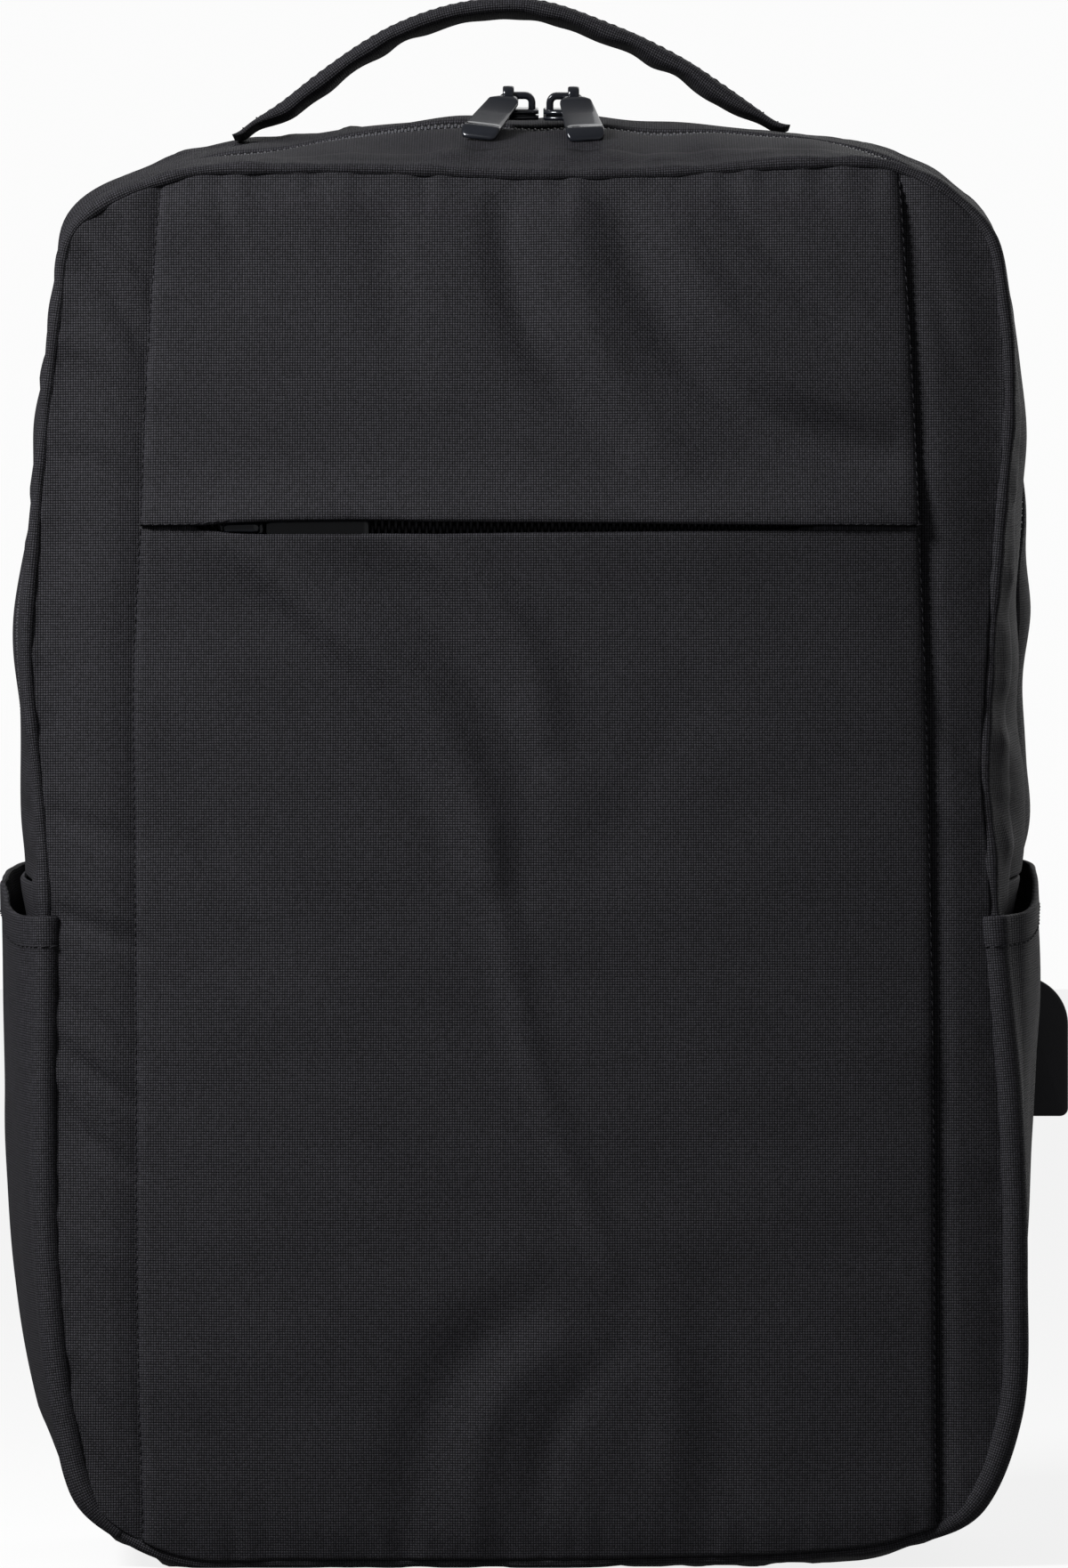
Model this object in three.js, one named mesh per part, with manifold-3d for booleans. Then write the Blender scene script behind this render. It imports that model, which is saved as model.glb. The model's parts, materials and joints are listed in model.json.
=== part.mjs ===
// Laptop backpack, standing upright on its base, front towards -Y.
// Millimetres, +Z up. The origin is on the floor under the middle of the bag.
import * as THREE from 'three';
import { mergeVertices } from 'three/addons/utils/BufferGeometryUtils.js';
import Module from 'manifold-3d';

const wasm = await Module();
wasm.setup();

// Extra sections in the corners of the seam, in millimetres of seam for each radian of turn
const TURN_PACE = 120;

// Driving dimensions of the bag
const FRONT_HALF = 142;      // half width of the front, seam to middle
const FRONT_TOP = 411;       // height of the front seam on the top
const BACK_FLARE = 4;        // how much wider the back is, each side
const BACK_RISE = 21;        // how much higher the back seam is on the top
const BACK_CORNER_DROP = 13; // how much lower the back's top corners sit
const DEPTH = 124;           // front seam to back seam
const FRONT_CROWN = 9;       // how far the front swells forward
const SIDE_SWELL = 12;       // largest swell of the sides past the seams
const TOP_SWELL = 10;        // largest swell of the top
const BASE_SWELL = 5;        // swell of the bottom, flattened by the floor

// Cloth and seams
const CLOTH = 2;             // body cloth with its foam
const POCKET_CLOTH = 1.5;
const GAP = 0.35;            // clearance between pieces that meet
const SEAT = 0.4;            // further clearance between faceted sheets that lie on each other
const WELT = 2;              // radius of the rolled seam
const PANEL_PROUD = 3;       // the middle of the front lies over the strips
const UNDERLAP = 7;          // strip cloth tucked under the middle

// Slot pocket in the front
const SLOT_HEIGHT = 308.4;
const SLOT_OPEN = 4;
const LIP_ROLL = 3;
const LIP_REACH = 16;
const FRONT_TAPE = 1.2;
const FRONT_TAPE_HALF = 18;
const TAPE_SHORT = 48;       // how far the tape ends short of the seams
const SLIDER_IN = 12;        // the front slider's place along the tape
const FRONT_TAPE_RECESS = 7;
const COIL_RISE = 1.6;
const COIL_HALF = 3;

// Main zip
const ZIP_FROM = 0.3;        // shares of the depth
const ZIP_TO = 0.4;
const ZIP_END = 203;         // height where the zip ends on each side
const ZIP_SUNK = 0.8;
const ZIP_TAPE = 1.4;

// Folds
const FOLD_WIDTH = 14;
const FOLD_LIFT = 4;
const SIDE_FOLD_LIFT = 3;
const SIDE_FOLD_REACH = 16;

// Side pockets
const POCKET_LOW = 12;
const MOUTH_HEIGHT = 191;
const MOUTH_DROP = 2;        // fall of the mouth towards the back
const HEM = 9;
const HEM_PROUD = 0.5;
const RIGHT_POCKET_DEPTH = 0.62;

// Handle
const HANDLE_HALF = 83;
const HANDLE_RISE = 40;
const HANDLE_FOOT = 435.4;
const HANDLE_WIDE = 24;
const HANDLE_THICK = 6;
const HANDLE_LEFT_Y = 44;
const HANDLE_RIGHT_Y = 47;

// Sliders and pulls
const SLIDER_LONG = 13;
const SLIDER_WIDE = 10;
const SLIDER_THICK = 3;
const ARCH_SPAN = 10;
const ARCH_WIDE = 3.2;
const ARCH_BAR = 1.1;
const ARCH_WINDOW = 2.9;
const SLIDER_MIDDLE = 6.6;   // where the two sliders meet
const PULL_LONG = 31;
const PULL_WIDE = 11.5;
const PULL_THICK = 2.4;
const PULL_NECK = 4;
const PULL_CORNER = 3;
const EYE_CLEAR = 0.45;
const EYE_WALL = 1.2;
const EYE_WIDE = 2.6;
const EYE_SIDES = 12;
const PULL_SPLAY = 20;       // degrees outwards

// Socket housing
const HOUSING_TOP = 174;
const HOUSING_BASE = 131;
const HOUSING_PROUD = 17.5;
const HOUSING_WIDE = 17;
const HOUSING_AT = 0.78;     // share of the depth
const HOUSING_CORNER = 2.5;
const SOCKET_LONG = 13;
const SOCKET_WIDE = 5.6;
const SOCKET_DEEP = 10;

// Back and shoulder straps
const PAD_THICK = 7;
const CHANNEL_SINK = 2.5;
const CHANNEL_HALF = 7;
const CHANNELS = [-0.42, 0.42]; // shares of BACK_HALF
const YOKE_HALF = 104;
const YOKE_TALL = 34;
const YOKE_TOP = 418;
const YOKE_THICK = 3;
const STRAP_THICK = 10;
const STRAP_TOP_WIDE = 62;
const STRAP_END_WIDE = 46;
const STRAP_TOP_X = 58;
const STRAP_END_X = 92;
const STRAP_END_Z = 150;
const STRAP_BOW = 30;
const LOCK_WIDE = 34;
const LOCK_TALL = 24;
const LOCK_THICK = 3.4;
const LOCK_BAR = 3;
const WEB_WIDE = 25;
const WEB_THICK = 1.6;
const WEB_BOW = 3;
const ANCHOR_X = 118;
const ANCHOR_Z = 34;
const ANCHOR_TALL = 26;
const ANCHOR_WIDE = 30;
const ANCHOR_THICK = 3;

// Sides of the front seam, from the base up: shares of FRONT_TOP, FRONT_HALF and SIDE_SWELL
const SIDES = [
  { z: 0.046, left: 0.876, right: 0.928, leftSwell: 0.10, rightSwell: 0.10 },
  { z: 0.111, left: 0.935, right: 1.010, leftSwell: -0.10, rightSwell: -0.10 },
  { z: 0.213, left: 0.967, right: 1.021, leftSwell: -0.10, rightSwell: -0.15 },
  { z: 0.335, left: 0.976, right: 1.011, leftSwell: 0.00, rightSwell: -0.10 },
  { z: 0.450, left: 0.974, right: 0.982, leftSwell: 0.38, rightSwell: 0.30 },
  { z: 0.515, left: 0.979, right: 0.972, leftSwell: 0.52, rightSwell: 0.90 },
  { z: 0.567, left: 0.991, right: 0.959, leftSwell: 0.40, rightSwell: 1.00 },
  { z: 0.657, left: 1.013, right: 0.970, leftSwell: 0.22, rightSwell: 0.74 },
  { z: 0.746, left: 0.997, right: 0.989, leftSwell: 0.14, rightSwell: 0.60 },
  { z: 0.843, left: 0.972, right: 1.011, leftSwell: 0.18, rightSwell: 0.34 },
  { z: 0.913, left: 0.948, right: 0.998, leftSwell: 0.08, rightSwell: 0.10 },
  { z: 0.964, left: 0.917, right: 0.963, leftSwell: 0.20, rightSwell: 0.10 },
];
const LOW_CORNER = SIDES[0].z;
const HIGH_CORNER = SIDES[SIDES.length - 1].z;

// Top and base of the front seam, from left to right: shares of FRONT_HALF, FRONT_TOP and the swells
const EDGES = [
  { x: -0.712, top: 1.000, base: 0.012, topSwell: 0.10, baseSwell: 0.80 },
  { x: -0.470, top: 1.005, base: 0.010, topSwell: 0.40, baseSwell: 1.00 },
  { x: -0.229, top: 1.004, base: 0.010, topSwell: 0.85, baseSwell: 1.00 },
  { x: 0.032, top: 1.001, base: 0.010, topSwell: 1.00, baseSwell: 1.00 },
  { x: 0.329, top: 1.003, base: 0.012, topSwell: 0.90, baseSwell: 1.00 },
  { x: 0.589, top: 1.009, base: 0.015, topSwell: 0.55, baseSwell: 0.90 },
  { x: 0.794, top: 1.005, base: 0.024, topSwell: 0.00, baseSwell: 0.70 },
];

// Folded edges of the raised middle: shares of FRONT_TOP and FRONT_HALF
const CREASES = [
  { z: 0.024, left: 0.786, right: 0.872 },
  { z: 0.168, left: 0.796, right: 0.868 },
  { z: 0.361, left: 0.799, right: 0.865 },
  { z: 0.554, left: 0.803, right: 0.855 },
  { z: 0.644, left: 0.805, right: 0.848 },
  { z: 0.753, left: 0.790, right: 0.835 },
  { z: 0.843, left: 0.781, right: 0.824 },
  { z: 0.920, left: 0.768, right: 0.811 },
  { z: 1.000, left: 0.749, right: 0.796 },
];

// How far the slot gapes: shares of FRONT_HALF and SLOT_OPEN
const SLOT = [
  { x: -0.80, open: 0.15 },
  { x: -0.68, open: 0.20 },
  { x: -0.60, open: 0.75 },
  { x: -0.50, open: 0.95 },
  { x: -0.30, open: 1.00 },
  { x: 0.00, open: 0.75 },
  { x: 0.35, open: 0.50 },
  { x: 0.62, open: 0.22 },
  { x: 0.86, open: 0.12 },
];

// Folds and dents of the front, as lines: ends as shares of FRONT_HALF and FRONT_TOP,
// wide as a share of FOLD_WIDTH, lift as a share of FOLD_LIFT, forwards where it is positive
const FRONT_FOLDS = [
  { x: -0.02, z: 0.97, toX: 0.03, toZ: 0.87, wide: 1.5, lift: -0.8 },
  { x: 0.11, z: 0.97, toX: 0.20, toZ: 0.87, wide: 1.3, lift: 0.5 },
  { x: 0.23, z: 0.97, toX: 0.40, toZ: 0.85, wide: 1.5, lift: -0.9 },
  { x: 0.40, z: 0.85, toX: 0.64, toZ: 0.81, wide: 1.3, lift: -0.6 },
  { x: 0.38, z: 0.93, toX: 0.62, toZ: 0.85, wide: 1.3, lift: 0.6 },
  { x: -0.60, z: 0.74, toX: -0.04, toZ: 0.55, wide: 1.2, lift: 0.8 },
  { x: -0.22, z: 0.72, toX: -0.02, toZ: 0.60, wide: 1.2, lift: -0.9 },
  { x: -0.10, z: 0.71, toX: 0.08, toZ: 0.63, wide: 1.2, lift: 0.8 },
  { x: -0.09, z: 0.53, toX: 0.18, toZ: 0.22, wide: 1.3, lift: 0.4 },
  { x: -0.28, z: 0.06, toX: -0.12, toZ: 0.12, wide: 2.0, lift: -1.0 },
  { x: 0.26, z: 0.08, toX: 0.40, toZ: 0.14, wide: 1.9, lift: -0.9 },
  { x: -0.09, z: 0.10, toX: 0.11, toZ: 0.16, wide: 1.3, lift: 0.6 },
  { x: -0.90, z: 0.96, toX: -0.77, toZ: 0.93, wide: 0.7, lift: -0.5 },
  { x: -0.92, z: 0.91, toX: -0.78, toZ: 0.88, wide: 0.7, lift: -0.5 },
  { x: -0.94, z: 0.86, toX: -0.80, toZ: 0.82, wide: 0.7, lift: -0.5 },
  { x: -0.96, z: 0.36, toX: -0.81, toZ: 0.33, wide: 0.7, lift: -0.4 },
  { x: -0.96, z: 0.31, toX: -0.81, toZ: 0.28, wide: 0.7, lift: -0.4 },
  { x: 0.86, z: 0.92, toX: 0.90, toZ: 0.70, wide: 0.9, lift: -0.5 },
  { x: 0.88, z: 0.50, toX: 0.92, toZ: 0.25, wide: 0.9, lift: -0.4 },
];

// Puckers of the sides and the top: height or place along the seam as shares of FRONT_TOP or
// FRONT_HALF, depth as a share of DEPTH, reach of SIDE_FOLD_REACH, lift of SIDE_FOLD_LIFT
const SIDE_FOLDS = [
  { on: 'left', at: 0.57, depth: 0.45, reach: 0.9, lift: -0.6 },
  { on: 'left', at: 0.68, depth: 0.50, reach: 1.1, lift: 0.6 },
  { on: 'left', at: 0.78, depth: 0.60, reach: 1.0, lift: -0.7 },
  { on: 'left', at: 0.88, depth: 0.70, reach: 1.0, lift: -0.5 },
  { on: 'right', at: 0.60, depth: 0.80, reach: 1.2, lift: -0.8 },
  { on: 'right', at: 0.70, depth: 0.66, reach: 1.3, lift: 0.6 },
  { on: 'right', at: 0.82, depth: 0.60, reach: 1.1, lift: -0.6 },
  { on: 'top', at: -0.30, depth: 0.16, reach: 0.9, lift: -0.4 },
  { on: 'top', at: 0.30, depth: 0.16, reach: 0.9, lift: -0.5 },
  { on: 'top', at: 0.55, depth: 0.60, reach: 1.2, lift: -0.5 },
  { on: 'top', at: -0.45, depth: 0.65, reach: 1.2, lift: -0.4 },
];

// Swell of each side pocket, from the base up: shares of FRONT_TOP and SIDE_SWELL
const POCKET_SWELL = [
  { z: 0.02, left: 0.20, right: 0.15 },
  { z: 0.11, left: 0.64, right: 0.22 },
  { z: 0.21, left: 0.91, right: 0.28 },
  { z: 0.33, left: 1.01, right: 0.56 },
  { z: 0.42, left: 1.09, right: 1.00 },
  { z: 0.50, left: 1.07, right: 1.08 },
];

// Outer edge of the handle: shares of HANDLE_HALF and HANDLE_RISE
const HANDLE = [
  { x: -1.02, rise: -0.02 },
  { x: -0.88, rise: 0.17 },
  { x: -0.74, rise: 0.40 },
  { x: -0.48, rise: 0.75 },
  { x: -0.21, rise: 0.94 },
  { x: 0.06, rise: 0.96 },
  { x: 0.32, rise: 0.79 },
  { x: 0.59, rise: 0.53 },
  { x: 0.85, rise: 0.17 },
  { x: 0.96, rise: 0.00 },
];

// Derived places
const FRONT_Y = -DEPTH / 2;
const BACK_Y = DEPTH / 2;
const BACK_HALF = FRONT_HALF + BACK_FLARE;
const BACK_TOP = FRONT_TOP + BACK_RISE;
const FRONT_TAPE_END = FRONT_HALF - TAPE_SHORT;
const FRONT_SLIDER_X = SLIDER_IN - FRONT_TAPE_END;
const EDGE_OUT = WELT + CLOTH / 2;
const HEART = new THREE.Vector3(0, 0, FRONT_TOP / 2);

// Small maths
const lerp = THREE.MathUtils.lerp;
const clamp = THREE.MathUtils.clamp;
const rad = THREE.MathUtils.degToRad;
const wrap = (s) => s - Math.floor(s);
const bell = (d) => Math.exp(-d * d);
const steps = (count) => Array.from({ length: count + 1 }, (_, i) => i / count);

// A smooth curve through one column of a table, held level past its ends
function column(rows, key, name) {
  const slope = rows.map((row, i) => {
    const a = rows[Math.max(i - 1, 0)];
    const b = rows[Math.min(i + 1, rows.length - 1)];
    return (b[name] - a[name]) / (b[key] - a[key]);
  });
  return (at) => {
    const last = rows.length - 1;
    if (at <= rows[0][key]) return rows[0][name];
    if (at >= rows[last][key]) return rows[last][name];
    const i = rows.findIndex((row, n) => n < last && at < rows[n + 1][key]);
    const span = rows[i + 1][key] - rows[i][key];
    const u = (at - rows[i][key]) / span;
    const fade = u * u * (3 - 2 * u);
    const leave = u * (1 - u) ** 2 * span * slope[i];
    const arrive = u * u * (1 - u) * span * slope[i + 1];
    return lerp(rows[i][name], rows[i + 1][name], fade) + leave - arrive;
  };
}

// The front seam as a closed loop: up the left side, over the top, down the right, along the base
function seamLoop() {
  const knots = [];
  const knot = (x, z, swell) => knots.push(new THREE.Vector3(x * FRONT_HALF, z * FRONT_TOP, swell));
  const across = [...EDGES].reverse();
  SIDES.forEach((r) => knot(-r.left, r.z, r.leftSwell * SIDE_SWELL));
  EDGES.forEach((r) => knot(r.x, r.top, r.topSwell * TOP_SWELL));
  [...SIDES].reverse().forEach((r) => knot(r.right, r.z, r.rightSwell * SIDE_SWELL));
  across.forEach((r) => knot(r.x, r.base, r.baseSwell * BASE_SWELL));
  const curve = new THREE.CatmullRomCurve3(knots, true, 'centripetal');
  const count = 720;
  const spots = steps(count).map((u) => curve.getPoint(u));
  const run = [0];
  for (let i = 1; i <= count; i += 1) {
    run.push(run[i - 1] + Math.hypot(spots[i].x - spots[i - 1].x, spots[i].y - spots[i - 1].y));
  }
  // Pace runs faster where the seam turns, so that corners get more sections
  const pace = [0];
  for (let i = 1; i <= count; i += 1) {
    const before = spots[(i + count - 2) % count];
    const here = spots[i - 1];
    const turn = new THREE.Vector2(here.x - before.x, here.y - before.y)
      .angleTo(new THREE.Vector2(spots[i].x - here.x, spots[i].y - here.y));
    pace.push(pace[i - 1] + run[i] - run[i - 1] + TURN_PACE * turn);
  }
  return { spots, run, pace, long: run[count] };
}
const LOOP = seamLoop();

// Where a value lies in a rising list: index and the share of the way to the next
function place(list, value) {
  let low = 0;
  let high = list.length - 1;
  while (high - low > 1) {
    const mid = (low + high) >> 1;
    if (list[mid] <= value) low = mid;
    else high = mid;
  }
  return { low, high, u: (value - list[low]) / (list[high] - list[low]) };
}

// Shares of the seam from one to another, closer together where it turns
function pacedShares(from, to, count) {
  const whole = LOOP.pace[LOOP.pace.length - 1];
  const toPace = (share) => {
    const spot = place(LOOP.run, wrap(share) * LOOP.long);
    return Math.floor(share) * whole + lerp(LOOP.pace[spot.low], LOOP.pace[spot.high], spot.u);
  };
  const toShare = (pace) => {
    const turns = Math.floor(pace / whole);
    const spot = place(LOOP.pace, pace - turns * whole);
    return turns + lerp(LOOP.run[spot.low], LOOP.run[spot.high], spot.u) / LOOP.long;
  };
  return steps(count).map((u) => toShare(lerp(toPace(from), toPace(to), u)));
}

// The seam at a share of its length: place, outward direction and swell
function rim(share) {
  const { low, high, u } = place(LOOP.run, wrap(share) * LOOP.long);
  const here = LOOP.spots[low].clone().lerp(LOOP.spots[high], u);
  const before = LOOP.spots[(low + LOOP.spots.length - 3) % (LOOP.spots.length - 1)];
  const after = LOOP.spots[(high + 2) % (LOOP.spots.length - 1)];
  const long = Math.hypot(after.x - before.x, after.y - before.y);
  const outX = -(after.y - before.y) / long;
  const outZ = (after.x - before.x) / long;
  return { x: here.x, z: here.y, swell: here.z, outX, outZ };
}

// Shares of the seam's length at a height on one side, or at a place across the top or base
function shareWhere(test, value) {
  const spots = LOOP.spots;
  for (let i = 1; i < spots.length; i += 1) {
    const a = spots[i - 1];
    const b = spots[i];
    if (!test(a)) continue;
    const p = value(a);
    const q = value(b);
    if (p * q <= 0 && p !== q) return lerp(LOOP.run[i - 1], LOOP.run[i], p / (p - q)) / LOOP.long;
  }
  return 0;
}
// The same place on the loop, counted so that it lies within half a turn of another
const near = (share, other) => share - Math.round(share - other);
const onLeft = (z) => shareWhere((p) => p.x < -FRONT_HALF * 0.6, (p) => p.y - z);
const onRight = (z) => shareWhere((p) => p.x > FRONT_HALF * 0.6, (p) => p.y - z);
const onTop = (x) => shareWhere((p) => p.y > FRONT_TOP / 2, (p) => p.x - x);
const onBase = (x) => shareWhere((p) => p.y < FRONT_TOP / 2, (p) => p.x - x);

// How much of the swell shows at a share of the depth: full a third of the way back
function swellAt(t) {
  const peak = 0.375;
  const shape = (u) => Math.max(u, 0) ** 0.6 * Math.max(1 - u, 0);
  return shape(t) / shape(peak);
}

const PLACES = {
  left: (at) => onLeft(at * FRONT_TOP),
  right: (at) => onRight(at * FRONT_TOP),
  top: (at) => onTop(at * FRONT_HALF),
};
const PUCKERS = SIDE_FOLDS.map((row) => ({ ...row, share: PLACES[row.on](row.at) }));

function pucker(share, t) {
  return PUCKERS.reduce((sum, row) => {
    const along = (Math.abs(wrap(share) - row.share) * LOOP.long) / (row.reach * SIDE_FOLD_REACH);
    const across = ((t - row.depth) * DEPTH) / (row.reach * SIDE_FOLD_REACH * 1.6);
    return sum + row.lift * SIDE_FOLD_LIFT * bell(along) * bell(across);
  }, 0);
}

// A place of the seam carried back to a share of the depth, where the outline grows and its corners round off
function carried(x, z, t) {
  const corner = Math.abs(x / FRONT_HALF) ** 1.5 * Math.max(z / FRONT_TOP, 0) ** 8;
  return {
    x: x * lerp(1, BACK_HALF / FRONT_HALF, t),
    z: z * lerp(1, BACK_TOP / FRONT_TOP, t) - BACK_CORNER_DROP * corner * t,
  };
}

// Share of the depth between the welts
const SEAM_INSET = WELT + GAP;
const depthShare = (y) => clamp((y - FRONT_Y - SEAM_INSET) / (DEPTH - 2 * SEAM_INSET), 0, 1);

// A point of the side cloth: share of the seam, share of the depth, height over the outer skin,
// and how far over the floor the cloth stays
function sidePoint(share, t, lift = 0, floor = 0) {
  const edge = rim(share);
  const out = EDGE_OUT + edge.swell * swellAt(t) + pucker(share, t) + lift;
  const seam = carried(edge.x, edge.z, t);
  return new THREE.Vector3(
    seam.x + edge.outX * out,
    lerp(FRONT_Y + SEAM_INSET, BACK_Y - SEAM_INSET, t),
    Math.max(seam.z + edge.outZ * out, floor),
  );
}

// Forward swell and folds of the front at a place on it
function frontRelief(x, z) {
  const across = Math.max(1 - Math.abs(x / FRONT_HALF) ** 3.5, 0);
  const upward = Math.max(1 - Math.abs((2 * z) / FRONT_TOP - 1) ** 4, 0);
  const folds = FRONT_FOLDS.reduce((sum, row) => {
    const a = new THREE.Vector2(row.x * FRONT_HALF, row.z * FRONT_TOP);
    const b = new THREE.Vector2(row.toX * FRONT_HALF, row.toZ * FRONT_TOP);
    const along = b.clone().sub(a);
    const u = clamp(new THREE.Vector2(x, z).sub(a).dot(along) / along.lengthSq(), 0, 1);
    const away = a.addScaledVector(along, u).distanceTo(new THREE.Vector2(x, z));
    return sum + row.lift * FOLD_LIFT * bell(away / (row.wide * FOLD_WIDTH));
  }, 0);
  return FRONT_CROWN * across * upward + folds * Math.min(1, 3 * across * upward);
}

const stripY = (x, z) => FRONT_Y - CLOTH / 2 - frontRelief(x, z);
function panelY(x, z) {
  const off = z - SLOT_HEIGHT;
  const roll = LIP_ROLL * (off > 0 ? 1 : 0.35) * bell(off / LIP_REACH) * bell((x / FRONT_HALF) ** 4 * 1.6);
  return stripY(x, z) - PANEL_PROUD - roll;
}
const creaseLeft = column(CREASES, 'z', 'left');
const creaseRight = column(CREASES, 'z', 'right');
function creaseX(side, z) {
  const share = side < 0 ? -creaseLeft(z / FRONT_TOP) : creaseRight(z / FRONT_TOP);
  return share * FRONT_HALF;
}
const slotOpen = column(SLOT, 'x', 'open');
const gape = (x) => Math.max((SLOT_OPEN / 2) * slotOpen(x / FRONT_HALF), 0.6 * GAP);

// Solids from grids of points

function solid(points, faces) {
  const geometry = new THREE.BufferGeometry();
  const places = new Float32Array(points.flatMap((p) => [p.x, p.y, p.z]));
  geometry.setAttribute('position', new THREE.BufferAttribute(places, 3));
  const volume = faces.reduce((sum, [a, b, c]) => sum + points[a].dot(points[b].clone().cross(points[c])), 0);
  geometry.setIndex((volume < 0 ? faces.map(([a, b, c]) => [a, c, b]) : faces).flat());
  geometry.computeVertexNormals();
  return geometry;
}

// A closed sheet: the grid is its outer skin, and the inner skin lies a thickness towards the heart
function sheet(grid, thick) {
  const rows = grid.length;
  const cols = grid[0].length;
  const at = (i, j) => grid[clamp(i, 0, rows - 1)][clamp(j, 0, cols - 1)];
  const normal = (i, j) => {
    const along = at(i + 1, j).clone().sub(at(i - 1, j));
    const across = at(i, j + 1).clone().sub(at(i, j - 1));
    return along.cross(across).normalize();
  };
  const mid = [rows >> 1, cols >> 1];
  const sign = Math.sign(normal(...mid).dot(at(...mid).clone().sub(HEART))) || 1;
  const wall = typeof thick === 'function' ? thick : () => thick;
  const under = (p, i, j) => p.clone().addScaledVector(normal(i, j), -sign * wall(i, j));
  return shell(grid, grid.map((row, i) => row.map((p, j) => under(p, i, j))));
}

// A closed sheet between two grids of points
function shell(outer, inner) {
  const rows = outer.length;
  const cols = outer[0].length;
  const points = [...outer.flat(), ...inner.flat()];
  const shift = rows * cols;
  const id = (i, j) => i * cols + j;
  const faces = [];
  const quad = (a, b, c, d) => faces.push([a, b, c], [a, c, d]);
  for (let i = 0; i < rows - 1; i += 1) {
    for (let j = 0; j < cols - 1; j += 1) {
      quad(id(i, j), id(i + 1, j), id(i + 1, j + 1), id(i, j + 1));
      quad(shift + id(i, j), shift + id(i, j + 1), shift + id(i + 1, j + 1), shift + id(i + 1, j));
    }
  }
  for (let i = 0; i < rows - 1; i += 1) {
    quad(id(i, 0), shift + id(i, 0), shift + id(i + 1, 0), id(i + 1, 0));
    quad(id(i, cols - 1), id(i + 1, cols - 1), shift + id(i + 1, cols - 1), shift + id(i, cols - 1));
  }
  for (let j = 0; j < cols - 1; j += 1) {
    quad(id(0, j), id(0, j + 1), shift + id(0, j + 1), shift + id(0, j));
    quad(id(rows - 1, j), shift + id(rows - 1, j), shift + id(rows - 1, j + 1), id(rows - 1, j + 1));
  }
  return solid(points, faces);
}

// A solid through rings of points, closed on itself or capped at both ends
function loft(rings, closed = false) {
  const sides = rings[0].length;
  const points = rings.flat();
  const faces = [];
  const quad = (a, b, c, d) => faces.push([a, b, c], [a, c, d]);
  const last = closed ? rings.length : rings.length - 1;
  for (let i = 0; i < last; i += 1) {
    const next = (i + 1) % rings.length;
    for (let j = 0; j < sides; j += 1) {
      const k = (j + 1) % sides;
      quad(i * sides + j, next * sides + j, next * sides + k, i * sides + k);
    }
  }
  if (!closed) {
    const end = (rings.length - 1) * sides;
    for (let j = 1; j < sides - 1; j += 1) faces.push([0, j, j + 1], [end, end + j + 1, end + j]);
  }
  return solid(points, faces);
}

// A flat band with rounded long edges: rings of eight points round a middle line
const BAND = [
  { wide: -0.5, thick: -0.1 },
  { wide: -0.4, thick: -0.46 },
  { wide: 0.4, thick: -0.46 },
  { wide: 0.5, thick: -0.1 },
  { wide: 0.5, thick: 0.1 },
  { wide: 0.4, thick: 0.46 },
  { wide: -0.4, thick: 0.46 },
  { wide: -0.5, thick: 0.1 },
];
const bandRing = (middle, widthWay, thickWay, wide, thick) => BAND.map((p) =>
  middle.clone().addScaledVector(widthWay, p.wide * wide).addScaledVector(thickWay, p.thick * thick));

// A patch between four boundary lines of the front, each a function from 0 to 1 to a point
function patch(left, right, base, top, across, upward, depthAt) {
  return upward.map((v) => across.map((u) => {
    const mix = (pick) => {
      const ruled = lerp(base(u)[pick], top(u)[pick], v) + lerp(left(v)[pick], right(v)[pick], u);
      const low = lerp(base(0)[pick], base(1)[pick], u);
      const high = lerp(top(0)[pick], top(1)[pick], u);
      return ruled - lerp(low, high, v);
    };
    const x = mix('x');
    const z = mix('z');
    return new THREE.Vector3(x, depthAt(x, z), z);
  }));
}
const seamRun = (from, to, inset = GAP) => (u) => {
  const edge = rim(lerp(from, to, u));
  return { x: edge.x - edge.outX * inset, z: edge.z - edge.outZ * inset };
};

// Pieces made by joining and cutting

function toManifold(geometry) {
  const bare = geometry.clone();
  bare.deleteAttribute('normal');
  if (bare.hasAttribute('uv')) bare.deleteAttribute('uv');
  const merged = mergeVertices(bare, 1e-4);
  const vertProperties = new Float32Array(merged.attributes.position.array);
  const triVerts = new Uint32Array(merged.index.array);
  return new wasm.Manifold(new wasm.Mesh({ numProp: 3, vertProperties, triVerts }));
}
function fromManifold(body) {
  const mesh = body.getMesh();
  const geometry = new THREE.BufferGeometry();
  geometry.setAttribute('position', new THREE.Float32BufferAttribute(mesh.vertProperties, 3));
  geometry.setIndex([...mesh.triVerts]);
  geometry.computeVertexNormals();
  return geometry;
}

// A plate of an outline, standing between two depths
function plate(outline, from, to, holes = []) {
  const shape = new THREE.Shape(outline.map(([x, y]) => new THREE.Vector2(x, y)));
  shape.holes = holes.map((hole) => new THREE.Path(hole.map(([x, y]) => new THREE.Vector2(x, y))));
  const geometry = new THREE.ExtrudeGeometry(shape, { depth: to - from, bevelEnabled: false });
  return geometry.translate(0, 0, from);
}
const box = (half, tall) => [[-half, 0], [half, 0], [half, tall], [-half, tall]];
// A closed outline from its half above the X axis
const bothSides = (upper) => [...upper.map(([x, y]) => [x, -y]), ...[...upper].reverse()];
const arc = (x, y, r, from, to, count) => steps(count).map((u) => {
  const angle = rad(lerp(from, to, u));
  return [x + r * Math.cos(angle), y + r * Math.sin(angle)];
});

// Front of the bag

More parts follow.
